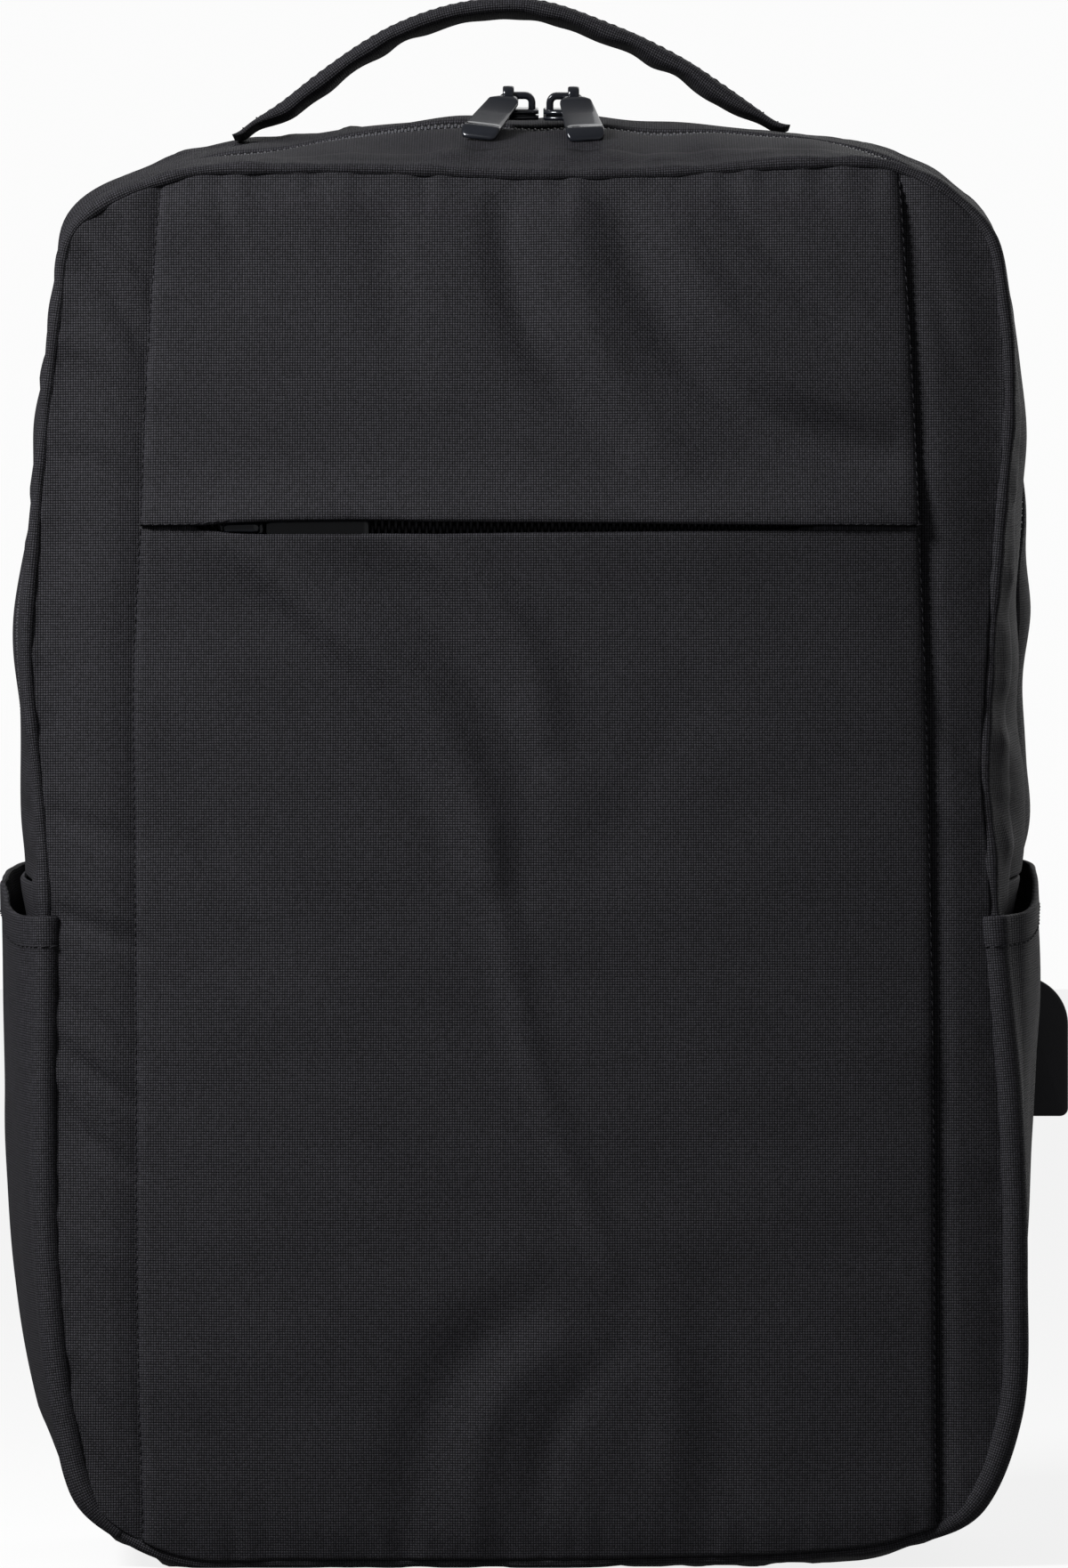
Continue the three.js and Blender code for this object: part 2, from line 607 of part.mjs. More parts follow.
function frontPanel(upper) {
  const side = upper ? 1 : -1;
  const seat = (x) => (upper ? seamRun(onTop(x), onTop(x))(0) : seamRun(onBase(x), onBase(x))(0));
  const slotEnd = (way) => {
    const x = creaseX(way, SLOT_HEIGHT);
    return { x, z: SLOT_HEIGHT + side * gape(x) };
  };
  const cornerZ = upper ? FRONT_TOP : 0;
  const corner = (way) => seat(creaseX(way, cornerZ));
  const crease = (way) => (v) => {
    const from = upper ? slotEnd(way) : corner(way);
    const to = upper ? corner(way) : slotEnd(way);
    const z = lerp(from.z, to.z, v);
    return { x: creaseX(way, z), z };
  };
  const slot = (u) => {
    const x = lerp(slotEnd(-1).x, slotEnd(1).x, u);
    return { x, z: SLOT_HEIGHT + side * gape(x) };
  };
  const seam = upper
    ? seamRun(onTop(corner(-1).x), onTop(corner(1).x))
    : seamRun(onBase(corner(-1).x), onBase(corner(1).x));
  const columns = steps(18);
  const rows = upper ? steps(8) : steps(14).map((v) => 1 - (1 - v) ** 1.1);
  const grid = upper
    ? patch(crease(-1), crease(1), slot, seam, columns, rows.map((v) => v ** 1.25), panelY)
    : patch(crease(-1), crease(1), seam, slot, columns, rows, panelY);
  return sheet(grid, CLOTH);
}

// Shares of the way from one place on the seam to another, closer together where it turns
function pacedUp(from, to, count) {
  return pacedShares(from, to, count).map((share) => (share - from) / (to - from));
}

function frontStrip(side) {
  const at = side < 0 ? onLeft : onRight;
  const low = at(LOW_CORNER * FRONT_TOP);
  const high = at(HIGH_CORNER * FRONT_TOP);
  const tuck = (z) => creaseX(side, z) - side * UNDERLAP;
  const topEnd = onTop(tuck(FRONT_TOP));
  const baseEnd = onBase(tuck(0));
  const topSpot = seamRun(topEnd, topEnd)(0);
  const baseSpot = seamRun(baseEnd, baseEnd)(0);
  const hidden = (v) => {
    const z = lerp(baseSpot.z, topSpot.z, v);
    return { x: lerp(lerp(baseSpot.x, topSpot.x, v), tuck(z), Math.min(1, 8 * v * (1 - v))), z };
  };
  const grid = patch(
    seamRun(low, high), hidden,
    seamRun(low, near(baseEnd, low)), seamRun(high, topEnd),
    steps(5), pacedUp(low, high, 18), stripY,
  );
  return sheet(grid, CLOTH);
}

// The tape follows the back of the front panels and dips towards its coil
function frontZip() {
  const coilEdge = COIL_HALF / FRONT_TAPE_HALF;
  const half = [coilEdge, coilEdge + 0.03, 0.4, 0.7, 1];
  const across = [...half.map((w) => -w).reverse(), ...half];
  const grid = across.map((w) => steps(10).map((u) => {
    const x = lerp(-FRONT_TAPE_END, FRONT_TAPE_END, u);
    const coil = Math.abs(w) <= coilEdge ? COIL_RISE : 0;
    return new THREE.Vector3(x, frontTapeY(x, w) - coil, SLOT_HEIGHT + w * FRONT_TAPE_HALF);
  }));
  return sheet(grid, FRONT_TAPE);
}
function frontTapeY(x, w) {
  const z = SLOT_HEIGHT + w * FRONT_TAPE_HALF;
  const around = [0, CLOTH, -CLOTH].map((step) => panelY(x, z + step));
  const seat = Math.max(...around) + CLOTH + 2 * GAP;
  const dip = FRONT_TAPE_RECESS * Math.cos((w * Math.PI) / 2) ** 1.5;
  return Math.max(seat, stripY(x, SLOT_HEIGHT) - PANEL_PROUD + CLOTH + 2 * GAP + dip);
}

// Rolled seams: a closed round welt just outside a seam

function welt(y, t) {
  const count = 60;
  const sides = 6;
  const rings = pacedShares(0, 1, count).slice(0, count).map((share) => {
    const edge = rim(share);
    const seam = carried(edge.x, edge.z, t);
    const x = seam.x + edge.outX * WELT;
    const z = Math.max(seam.z + edge.outZ * WELT, WELT + 0.05);
    return steps(sides).slice(0, sides).map((u) => {
      const turn = 2 * Math.PI * u;
      const out = WELT * Math.cos(turn);
      return new THREE.Vector3(x + edge.outX * out, y + WELT * Math.sin(turn), z + edge.outZ * out);
    });
  });
  return loft(rings, true);
}

// Side cloth

function sideBand(from, to, depthFrom, depthTo, count, columns, thick = CLOTH, rise = () => 0) {
  const skin = (under) => pacedShares(from, to, count).map((share) => columns.map((w) =>
    sidePoint(share, lerp(depthFrom, depthTo, w), rise(w) - under, under)));
  return shell(skin(0), skin(thick));
}

const ZIP_LEFT = onLeft(ZIP_END);
const ZIP_RIGHT = onRight(ZIP_END);
const DEPTH_GAP = GAP / (DEPTH - 2 * SEAM_INSET);
const LENGTH_GAP = GAP / LOOP.long;

const GUSSET_SECTIONS = 44;
const BASE_SECTIONS = 38;

const frontGusset = () => sideBand(ZIP_LEFT, ZIP_RIGHT, 0, ZIP_FROM, GUSSET_SECTIONS, [0, 0.2, 0.55, 1]);
const rearGusset = () => sideBand(ZIP_LEFT, ZIP_RIGHT, ZIP_TO, 1, GUSSET_SECTIONS, [0, 0.3, 0.65, 1]);
const ZIP_COIL_FROM = 0.5 - COIL_HALF / (DEPTH * (ZIP_TO - ZIP_FROM));
const zipRise = (w) => (w === 0.5 ? COIL_RISE : 0) - ZIP_SUNK;
function mainZip() {
  const columns = [0, ZIP_COIL_FROM, 0.5, 1 - ZIP_COIL_FROM, 1];
  const from = ZIP_FROM + DEPTH_GAP;
  const to = ZIP_TO - DEPTH_GAP;
  return sideBand(ZIP_LEFT, ZIP_RIGHT, from, to, GUSSET_SECTIONS, columns, ZIP_TAPE, zipRise);
}
const DEPTH_COLUMNS = [0, 0.06, 0.2, 0.4, 0.6, 0.8, 0.94, 1];
function lowerGusset() {
  return sideBand(ZIP_RIGHT + LENGTH_GAP, ZIP_LEFT + 1 - LENGTH_GAP, 0, 1, BASE_SECTIONS, DEPTH_COLUMNS);
}

// Side pockets

function sidePocket(side) {
  const at = side < 0 ? onLeft : onRight;
  const swell = column(POCKET_SWELL, 'z', side < 0 ? 'left' : 'right');
  const depthTo = side < 0 ? 1 : RIGHT_POCKET_DEPTH;
  const hemStart = 1 - HEM / (MOUTH_HEIGHT - POCKET_LOW);
  const foot = near(at(POCKET_LOW), at(MOUTH_HEIGHT));
  const upward = [...pacedUp(foot, at(MOUTH_HEIGHT), 10).map((v) => v * (hemStart - 0.01)), hemStart, 1];
  const columns = [...DEPTH_COLUMNS.filter((t) => t < depthTo), depthTo];
  const skin = (inner) => upward.map((v) => columns.map((t) => {
    const w = t / depthTo;
    const share = lerp(foot, at(MOUTH_HEIGHT - MOUTH_DROP * w), v);
    const edge = rim(share);
    const free = Math.max(Math.sin(Math.PI * w), 0) ** 0.55 * Math.min(1, 5 * v);
    const seat = POCKET_CLOTH + GAP + SEAT;
    const extra = Math.max(swell(edge.z / FRONT_TOP) * SIDE_SWELL - edge.swell * swellAt(t) - seat, 0) * free;
    const hem = v >= hemStart ? HEM_PROUD : 0;
    return sidePoint(share, t, seat + extra - pucker(share, t) * free + (inner ? -POCKET_CLOTH : hem));
  }));
  return shell(skin(false), skin(true));
}

// Handle

// Height of the top cloth at a place on it
function topHeight(x, y) {
  const t = depthShare(y);
  const widen = lerp(1, BACK_HALF / FRONT_HALF, t);
  return sidePoint(onTop(clamp(x / widen, -FRONT_HALF * 0.9, FRONT_HALF * 0.9)), t).z;
}

function handle() {
  const outer = new THREE.CatmullRomCurve3(HANDLE.map((row) => new THREE.Vector3(
    row.x * HANDLE_HALF,
    lerp(HANDLE_LEFT_Y, HANDLE_RIGHT_Y, (row.x + 1) / 2),
    HANDLE_FOOT + row.rise * HANDLE_RISE,
  )), false, 'centripetal');
  const across = new THREE.Vector3(0, 1, 0);
  const stations = steps(24);
  const rings = stations.map((u) => {
    const way = outer.getTangentAt(u);
    const out = across.clone().cross(way).negate().normalize();
    const middle = outer.getPointAt(u).addScaledVector(out, -HANDLE_THICK / 2);
    return bandRing(middle, across, out, HANDLE_WIDE, HANDLE_THICK).map((p) => {
      const floor = topHeight(p.x, p.y) + GAP;
      const foot = u === 0 || u === 1;
      return new THREE.Vector3(p.x, p.y, foot ? floor : Math.max(p.z, floor));
    });
  });
  return loft(rings);
}

// Sliders and pulls. Local frame: zip along X, outwards +Z, bottom of the slider at 0

const BAR_HEIGHT = SLIDER_THICK + ARCH_WINDOW + ARCH_BAR;
function slider(windowTall = ARCH_WINDOW) {
  const half = SLIDER_LONG / 2;
  const nose = SLIDER_WIDE * 0.32;
  const outline = bothSides([[-half, SLIDER_WIDE / 2], [half * 0.4, SLIDER_WIDE / 2], [half, nose]]);
  const body = toManifold(plate(outline, 0, SLIDER_THICK));
  const span = ARCH_SPAN / 2;
  const top = SLIDER_THICK + windowTall + 2 * ARCH_BAR;
  const foot = SLIDER_THICK * 0.6;
  const leg = 2 * ARCH_BAR;
  const inside = span - leg;
  const arch = [
    [-span, foot],
    [span, foot],
    [span, top - leg],
    [span - leg * 0.7, top],
    [leg * 0.7 - span, top],
    [-span, top - leg],
  ];
  const window = [
    [-inside, SLIDER_THICK],
    [inside, SLIDER_THICK],
    [inside, top - leg],
    [-inside, top - leg],
  ];
  const holes = windowTall > 0 ? [window] : [];
  const bridge = plate(arch, -ARCH_WIDE / 2, ARCH_WIDE / 2, holes).rotateX(Math.PI / 2);
  return fromManifold(body.add(toManifold(bridge)));
}

// The eye rides on the bar along X and the tab points forwards, splayed to one side
function pull(side) {
  const hole = Math.hypot(ARCH_WIDE / 2, ARCH_BAR) + EYE_CLEAR;
  const eyeOut = hole + EYE_WALL;
  const circle = (r) => arc(0, 0, r, 0, 360 - 360 / EYE_SIDES, EYE_SIDES - 1);
  const ring = plate(circle(eyeOut), -EYE_WIDE / 2, EYE_WIDE / 2, [circle(hole)]);
  ring.rotateY(Math.PI / 2);
  const start = hole + EYE_WALL * 0.4;
  const shoulder = SLIDER_WIDE / 2 + PULL_NECK / 2;
  const neck = PULL_NECK / 2;
  const half = PULL_WIDE / 2;
  const tab = bothSides([
    [start, neck * 0.6],
    [shoulder, neck],
    [shoulder + PULL_CORNER, half * 0.88],
    [PULL_LONG - PULL_CORNER, half],
    [PULL_LONG, half * 0.72],
  ]);
  const turned = tab.map(([reach, across]) => {
    const bend = clamp((reach - start) / (shoulder - start), 0, 1);
    const angle = rad(PULL_SPLAY) * side * bend - Math.PI / 2;
    return new THREE.Vector2(reach, across).rotateAround(new THREE.Vector2(), angle).toArray();
  });
  const flat = plate(turned, -PULL_THICK / 2, PULL_THICK / 2);
  return fromManifold(toManifold(ring).add(toManifold(flat)));
}

// Where a slider sits on the main zip
function sliderSeat(x) {
  const t = (ZIP_FROM + ZIP_TO) / 2;
  const coil = COIL_RISE - ZIP_SUNK;
  const share = onTop(x);
  const here = sidePoint(share, t, coil);
  const ahead = sidePoint(share, t + 0.02, coil);
  const tilt = Math.atan2(ahead.z - here.z, ahead.y - here.y);
  return { here, tilt };
}

// The pull drops forwards until its tab lies on the cloth
function restTilt(barY, barZ, x) {
  let tilt = 0;
  const lies = (angle) => steps(8).every((u) => {
    const reach = lerp(SLIDER_WIDE / 2 + 3, PULL_LONG, u);
    const y = barY - reach * Math.cos(angle) * Math.cos(rad(PULL_SPLAY));
    const z = barZ - reach * Math.sin(angle) - PULL_THICK / 2;
    return [-1, 0, 1].every((w) => z > topHeight(x + w * PULL_WIDE, y) + 2 * GAP);
  });
  while (lies(tilt + 0.01) && tilt < 1.2) tilt += 0.01;
  return tilt;
}

function sliderPair(side) {
  const x = SLIDER_MIDDLE + side * (SLIDER_LONG / 2 + 2 * GAP);
  const seat = sliderSeat(x);
  const body = slider();
  if (side > 0) body.rotateZ(Math.PI);
  const lift = new THREE.Vector3(0, 0, 1.5 * GAP).applyAxisAngle(new THREE.Vector3(1, 0, 0), seat.tilt);
  const bar = new THREE.Vector3(0, 0, BAR_HEIGHT).applyAxisAngle(new THREE.Vector3(1, 0, 0), seat.tilt);
  const base = seat.here.clone().add(lift);
  base.x = x;
  const axis = base.clone().add(bar);
  return { body, base, axis, sliderTilt: seat.tilt, tilt: restTilt(axis.y, axis.z, x), tab: pull(side) };
}

// Front slider and pull lie flat in the slot, just clear of the coil along their length
function coilSeat(from, to) {
  const along = steps(4).map((u) => lerp(from, to, u));
  return Math.min(...along.map((x) => frontTapeY(x, 0) - COIL_RISE)) - GAP - SEAT;
}
function frontPull() {
  const half = PULL_WIDE / 2;
  const outline = bothSides([
    [0, PULL_NECK / 2],
    [PULL_CORNER, half * 0.9],
    [PULL_LONG - PULL_CORNER, half],
    [PULL_LONG, half * 0.72],
  ]);
  return plate(outline, 0, PULL_THICK * 0.8).rotateX(Math.PI / 2);
}

// Socket housing, with its socket open downwards

function housing() {
  const y = lerp(FRONT_Y, BACK_Y, HOUSING_AT);
  const heights = [0, 0.5, 1].map((u) => lerp(HOUSING_BASE, HOUSING_TOP, u));
  const shares = heights.map((z) => onRight(z / lerp(1, BACK_TOP / FRONT_TOP, HOUSING_AT)));
  const depths = [-0.5, 0, 0.5].map((w) => depthShare(y + w * HOUSING_WIDE));
  const cloth = shares.flatMap((share) => depths.map((t) => sidePoint(share, t).x));
  const inner = Math.max(...cloth) + GAP;
  const outer = inner + HOUSING_PROUD;
  const shoulder = HOUSING_PROUD * 0.86;
  const c = HOUSING_CORNER;
  const outline = [
    [inner, HOUSING_BASE],
    ...arc(outer - c, HOUSING_BASE + c, c, -90, 0, 3),
    ...arc(outer - shoulder, HOUSING_TOP - shoulder, shoulder, 0, 90, 6),
    [inner, HOUSING_TOP],
  ];
  const shell = plate(outline, -HOUSING_WIDE / 2, HOUSING_WIDE / 2).rotateX(Math.PI / 2);
  const socket = plate(box(SOCKET_WIDE / 2, SOCKET_LONG), -1, SOCKET_DEEP);
  socket.translate((inner + outer) / 2, -SOCKET_LONG / 2, HOUSING_BASE);
  const body = fromManifold(toManifold(shell).subtract(toManifold(socket)));
  return body.translate(0, y, 0);
}

// Back of the bag

function padY(x, z) {
  const groove = CHANNELS.reduce((sum, at) => sum + bell((x - at * BACK_HALF) / CHANNEL_HALF), 0);
  const across = Math.max(1 - Math.abs(x / BACK_HALF) ** 8, 0);
  const upward = Math.max(1 - Math.abs((2 * z) / BACK_TOP - 1) ** 14, 0);
  const padding = PAD_THICK - CLOTH - CHANNEL_SINK * Math.min(groove, 1);
  return BACK_Y + CLOTH + padding * Math.sqrt(across * upward);
}
function backPanel() {
  const low = { left: onLeft(LOW_CORNER * FRONT_TOP), right: onRight(LOW_CORNER * FRONT_TOP) };
  const high = { left: onLeft(HIGH_CORNER * FRONT_TOP), right: onRight(HIGH_CORNER * FRONT_TOP) };
  const scaled = (run) => (u) => {
    const p = run(u);
    return carried(p.x, p.z, 1);
  };
  const across = [0, 0.05, 0.14, 0.22, 0.28, 0.34, 0.45, 0.55, 0.66, 0.72, 0.78, 0.86, 0.95, 1];
  const upward = [0, 0.04, ...steps(10).map((v) => lerp(0.1, 0.9, v)), 0.96, 1];
  const grid = patch(
    scaled(seamRun(low.left, high.left, 2 * GAP)), scaled(seamRun(low.right, high.right, 2 * GAP)),
    scaled(seamRun(low.left + 1, low.right, 2 * GAP)), scaled(seamRun(high.left, high.right, 2 * GAP)),
    across, upward, padY,
  );
  return sheet(grid, (i, j) => Math.max(grid[i][j].y - BACK_Y + CLOTH / 2, CLOTH));
}

function strapYoke() {
  const grid = steps(2).map((v) => steps(12).map((u) => {
    const z = lerp(YOKE_TOP - YOKE_TALL, YOKE_TOP, v);
    const x = lerp(-YOKE_HALF, YOKE_HALF, u);
    return new THREE.Vector3(x, BACK_Y + PAD_THICK + YOKE_THICK + 2 * GAP, z);
  }));
  return sheet(grid, YOKE_THICK);
}

// A strap leaves the yoke, bows away from the back and ends above its adjuster
const STRAP_FROM_Z = YOKE_TOP - YOKE_TALL - GAP;
const STRAP_Y = BACK_Y + PAD_THICK + STRAP_THICK / 2 + 2 * GAP;
function strapLine(side, u) {
  const z = lerp(STRAP_FROM_Z, STRAP_END_Z, u);
  const x = side * lerp(STRAP_TOP_X, STRAP_END_X, u ** 1.6);
  const y = STRAP_Y + STRAP_BOW * Math.sin(Math.PI * u ** 0.8) ** 1.2 * (1 - 0.2 * u);
  return new THREE.Vector3(x, y, z);
}
function shoulderStrap(side) {
  const rings = steps(16).map((u) => {
    const ahead = strapLine(side, Math.min(u + 0.01, 1));
    const behind = strapLine(side, Math.max(u - 0.01, 0));
    const way = ahead.sub(behind).normalize();
    const across = new THREE.Vector3(1, 0, 0).addScaledVector(way, -way.x).normalize();
    const out = way.clone().cross(across).normalize();
    const wide = lerp(STRAP_TOP_WIDE, STRAP_END_WIDE, u ** 0.8);
    const flat = u === 0 || u === 1;
    return bandRing(strapLine(side, u), across, out, wide, STRAP_THICK).map((p) =>
      (flat ? new THREE.Vector3(p.x, p.y, strapLine(side, u).z) : p));
  });
  return loft(rings);
}

// Adjuster: a flat frame with two slots, hanging under the strap
function ladderLock() {
  const half = LOCK_WIDE / 2;
  const tall = LOCK_TALL;
  const slotHalf = half - LOCK_BAR;
  const slotTall = (tall - 3 * LOCK_BAR) / 2;
  const hole = (z) => [[-slotHalf, z], [slotHalf, z], [slotHalf, z + slotTall], [-slotHalf, z + slotTall]];
  const holes = [hole(LOCK_BAR), hole(2 * LOCK_BAR + slotTall)];
  return plate(box(half, tall), -LOCK_THICK / 2, LOCK_THICK / 2, holes).rotateX(Math.PI / 2);
}
const LOCK_Z = STRAP_END_Z - GAP - LOCK_TALL;

// Webbing from the adjuster's lower bar to the tab at the bottom corner
function webbing(side) {
  const from = new THREE.Vector3(side * STRAP_END_X, STRAP_Y, LOCK_Z - GAP);
  const to = new THREE.Vector3(side * ANCHOR_X, ANCHOR_Y, ANCHOR_Z + ANCHOR_TALL + GAP);
  const rings = steps(8).map((u) => {
    const middle = from.clone().lerp(to, u);
    middle.y += WEB_BOW * Math.sin(Math.PI * u);
    return bandRing(middle, new THREE.Vector3(1, 0, 0), new THREE.Vector3(0, 1, 0), WEB_WIDE, WEB_THICK);
  });
  return loft(rings);
}

const ANCHOR_Y = BACK_Y + PAD_THICK + 2 * GAP + ANCHOR_THICK / 2;
function anchor() {
  const half = ANCHOR_WIDE / 2;
  const outline = [
    [-half, 0],
    [half * 0.7, 0],
    [half, ANCHOR_TALL * 0.4],
    [WEB_WIDE / 2, ANCHOR_TALL],
    [-WEB_WIDE / 2, ANCHOR_TALL],
  ];
  return plate(outline, -ANCHOR_THICK / 2, ANCHOR_THICK / 2).rotateX(Math.PI / 2);
}

// Finishes
const finish = (color, roughness, metalness = 0) => ({ color, roughness, metalness });
const WOVEN = finish(0x2a292d, 0.85);
const EDGING = finish(0x222125, 0.85);
const TAPE = finish(0x1c1b1f, 0.8);
const GLOSS_METAL = finish(0x15161b, 0.22, 0.7);
const MATTE_PLASTIC = finish(0x232327, 0.55);
const MESH_CLOTH = finish(0x262529, 0.95);
const WEBBING = finish(0x1e1d21, 0.8);

const bag = new THREE.Group();
function piece(name, geometry, look, place, turnX = 0) {
  const mesh = new THREE.Mesh(geometry, new THREE.MeshStandardMaterial(look));
  mesh.name = name;
  if (place) mesh.position.copy(place);
  mesh.rotation.x = turnX;
  bag.add(mesh);
  return mesh;
}

piece('front_upper_panel', frontPanel(true), WOVEN);
piece('front_lower_panel', frontPanel(false), WOVEN);
piece('front_strip_left', frontStrip(-1), WOVEN);
piece('front_strip_right', frontStrip(1), WOVEN);
piece('front_zip', frontZip(), TAPE);
piece('front_welt', welt(FRONT_Y, 0), EDGING);
piece('front_gusset', frontGusset(), WOVEN);
piece('main_zip', mainZip(), TAPE);
piece('rear_gusset', rearGusset(), WOVEN);
piece('lower_gusset', lowerGusset(), WOVEN);
piece('side_pocket_left', sidePocket(-1), WOVEN);
piece('side_pocket_right', sidePocket(1), WOVEN);
piece('handle', handle(), WOVEN);
piece('usb_housing', housing(), MATTE_PLASTIC);

const sliderEnd = FRONT_SLIDER_X + SLIDER_LONG / 2;
const sliderFoot = coilSeat(sliderEnd - SLIDER_LONG, sliderEnd);
const frontSliderAt = new THREE.Vector3(FRONT_SLIDER_X, sliderFoot, SLOT_HEIGHT);
piece('front_slider', slider(0).rotateX(Math.PI / 2), GLOSS_METAL, frontSliderAt);
const frontPullAt = new THREE.Vector3(sliderEnd + GAP, coilSeat(sliderEnd, sliderEnd + PULL_LONG), SLOT_HEIGHT);
piece('front_pull', frontPull(), GLOSS_METAL, frontPullAt);

for (const [name, side] of [['left', -1], ['right', 1]]) {
  const pair = sliderPair(side);
  piece(`slider_${name}`, pair.body, GLOSS_METAL, pair.base, pair.sliderTilt);
  piece(`pull_${name}`, pair.tab, GLOSS_METAL, pair.axis, pair.tilt);
}

piece('back_welt', welt(BACK_Y, 1), EDGING);
piece('back_panel', backPanel(), MESH_CLOTH);
piece('strap_yoke', strapYoke(), WOVEN);
for (const [name, side] of [['left', -1], ['right', 1]]) {
  piece(`shoulder_strap_${name}`, shoulderStrap(side), MESH_CLOTH);
  const lockAt = new THREE.Vector3(side * STRAP_END_X, STRAP_Y, LOCK_Z);
  piece(`ladder_lock_${name}`, ladderLock(), MATTE_PLASTIC, lockAt);
  piece(`strap_webbing_${name}`, webbing(side), WEBBING);
  const tab = anchor();
  if (side < 0) tab.rotateZ(Math.PI);
  piece(`strap_anchor_${name}`, tab, WOVEN, new THREE.Vector3(side * ANCHOR_X, ANCHOR_Y, ANCHOR_Z));
}

export default bag;
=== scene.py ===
"""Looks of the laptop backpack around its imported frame: dense folded cloth, zips, hardware, padding, studio."""
import json
import logging
import math
from dataclasses import dataclass, field
from enum import Enum
from typing import Any, Callable, NamedTuple, Sequence

import bpy
import numpy as np
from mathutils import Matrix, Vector


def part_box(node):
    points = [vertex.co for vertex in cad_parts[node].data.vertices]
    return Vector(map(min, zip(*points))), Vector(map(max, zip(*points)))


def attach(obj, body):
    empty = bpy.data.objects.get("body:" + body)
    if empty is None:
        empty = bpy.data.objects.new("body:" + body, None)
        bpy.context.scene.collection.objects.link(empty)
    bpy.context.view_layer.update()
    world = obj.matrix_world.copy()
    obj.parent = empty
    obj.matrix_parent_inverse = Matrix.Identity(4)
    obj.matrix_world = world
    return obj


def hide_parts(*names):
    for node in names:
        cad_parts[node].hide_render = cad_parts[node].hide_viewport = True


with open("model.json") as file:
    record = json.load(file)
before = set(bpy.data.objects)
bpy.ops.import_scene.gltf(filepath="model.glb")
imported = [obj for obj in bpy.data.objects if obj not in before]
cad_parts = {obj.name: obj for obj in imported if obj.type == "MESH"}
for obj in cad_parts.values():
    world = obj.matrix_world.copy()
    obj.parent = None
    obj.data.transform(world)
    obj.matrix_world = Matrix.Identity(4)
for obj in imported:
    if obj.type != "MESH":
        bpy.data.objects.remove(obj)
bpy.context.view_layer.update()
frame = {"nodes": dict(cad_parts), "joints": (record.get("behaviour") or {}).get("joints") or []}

Array = np.ndarray
Object = bpy.types.Object
Material = bpy.types.Material

MM = 0.001
LOWEST = 0.0001

log = logging.getLogger("backpack")
logging.basicConfig(level=logging.INFO, format="%(name)s: %(message)s")


class Side(Enum):
    """The two sides of the bag, seen from the front, with their way along X."""

    LEFT = -1
    RIGHT = 1


class Level(Enum):
    """The two parts of the raised middle, with their way from the slot."""

    UPPER = 1
    LOWER = -1


class Run(Enum):
    """Which way a line runs on a grid of cloth."""

    ALONG_ROWS = 0
    ALONG_COLUMNS = 1


# Tables, as shares of the sizes in BagSizes


class SideRow(NamedTuple):
    """A place on the sides of the front seam."""

    z: float
    left: float
    right: float
    left_swell: float
    right_swell: float


class EdgeRow(NamedTuple):
    """A place on the top and base of the front seam."""

    x: float
    top: float
    base: float
    top_swell: float
    base_swell: float


class CreaseRow(NamedTuple):
    """Where the raised middle is folded over at a height."""

    z: float
    left: float
    right: float


class SlotRow(NamedTuple):
    """How far the slot gapes at a place."""

    x: float
    open: float


class Fold(NamedTuple):
    """A fold of the front: places that it passes, its half width and its lift, in millimetres."""

    path: tuple[tuple[float, float], ...]
    wide: float
    lift: float


class Pucker(NamedTuple):
    """A pucker of the side cloth."""

    on: str
    at: float
    depth: float
    reach: float
    lift: float


class PocketRow(NamedTuple):
    """How far the side pockets stand out at a height."""

    z: float
    left: float
    right: float


class HandleRow(NamedTuple):
    """A place on the outer edge of the handle."""

    x: float
    rise: float


SIDES = (
    SideRow(0.046, 0.876, 0.928, 0.10, 0.10),
    SideRow(0.111, 0.935, 1.010, -0.10, -0.10),
    SideRow(0.213, 0.967, 1.021, -0.10, -0.15),
    SideRow(0.335, 0.976, 1.011, 0.00, -0.10),
    SideRow(0.450, 0.974, 0.982, 0.38, 0.30),
    SideRow(0.515, 0.979, 0.972, 0.52, 0.90),
    SideRow(0.567, 0.991, 0.959, 0.40, 1.00),
    SideRow(0.657, 1.013, 0.970, 0.22, 0.74),
    SideRow(0.746, 0.997, 0.989, 0.14, 0.60),
    SideRow(0.843, 0.972, 1.011, 0.18, 0.34),
    SideRow(0.913, 0.948, 0.998, 0.08, 0.10),
    SideRow(0.964, 0.917, 0.963, 0.20, 0.10),
)
EDGES = (
    EdgeRow(-0.712, 1.000, 0.012, 0.10, 0.80),
    EdgeRow(-0.470, 1.005, 0.010, 0.40, 1.00),
    EdgeRow(-0.229, 1.004, 0.010, 0.85, 1.00),
    EdgeRow(0.032, 1.001, 0.010, 1.00, 1.00),
    EdgeRow(0.329, 1.003, 0.012, 0.90, 1.00),
    EdgeRow(0.589, 1.009, 0.015, 0.55, 0.90),
    EdgeRow(0.794, 1.005, 0.024, 0.00, 0.70),
)
CREASES = (
    CreaseRow(0.024, 0.786, 0.872),
    CreaseRow(0.168, 0.796, 0.868),
    CreaseRow(0.361, 0.799, 0.865),
    CreaseRow(0.554, 0.803, 0.855),
    CreaseRow(0.644, 0.805, 0.848),
    CreaseRow(0.753, 0.790, 0.835),
    CreaseRow(0.843, 0.781, 0.824),
    CreaseRow(0.920, 0.768, 0.811),
    CreaseRow(1.000, 0.749, 0.796),
)
SLOT = (
    SlotRow(-0.80, 0.15),
    SlotRow(-0.68, 0.20),
    SlotRow(-0.60, 0.75),
    SlotRow(-0.50, 0.95),
    SlotRow(-0.30, 1.00),
    SlotRow(0.00, 0.75),
    SlotRow(0.35, 0.50),
    SlotRow(0.62, 0.22),
    SlotRow(0.86, 0.12),
)
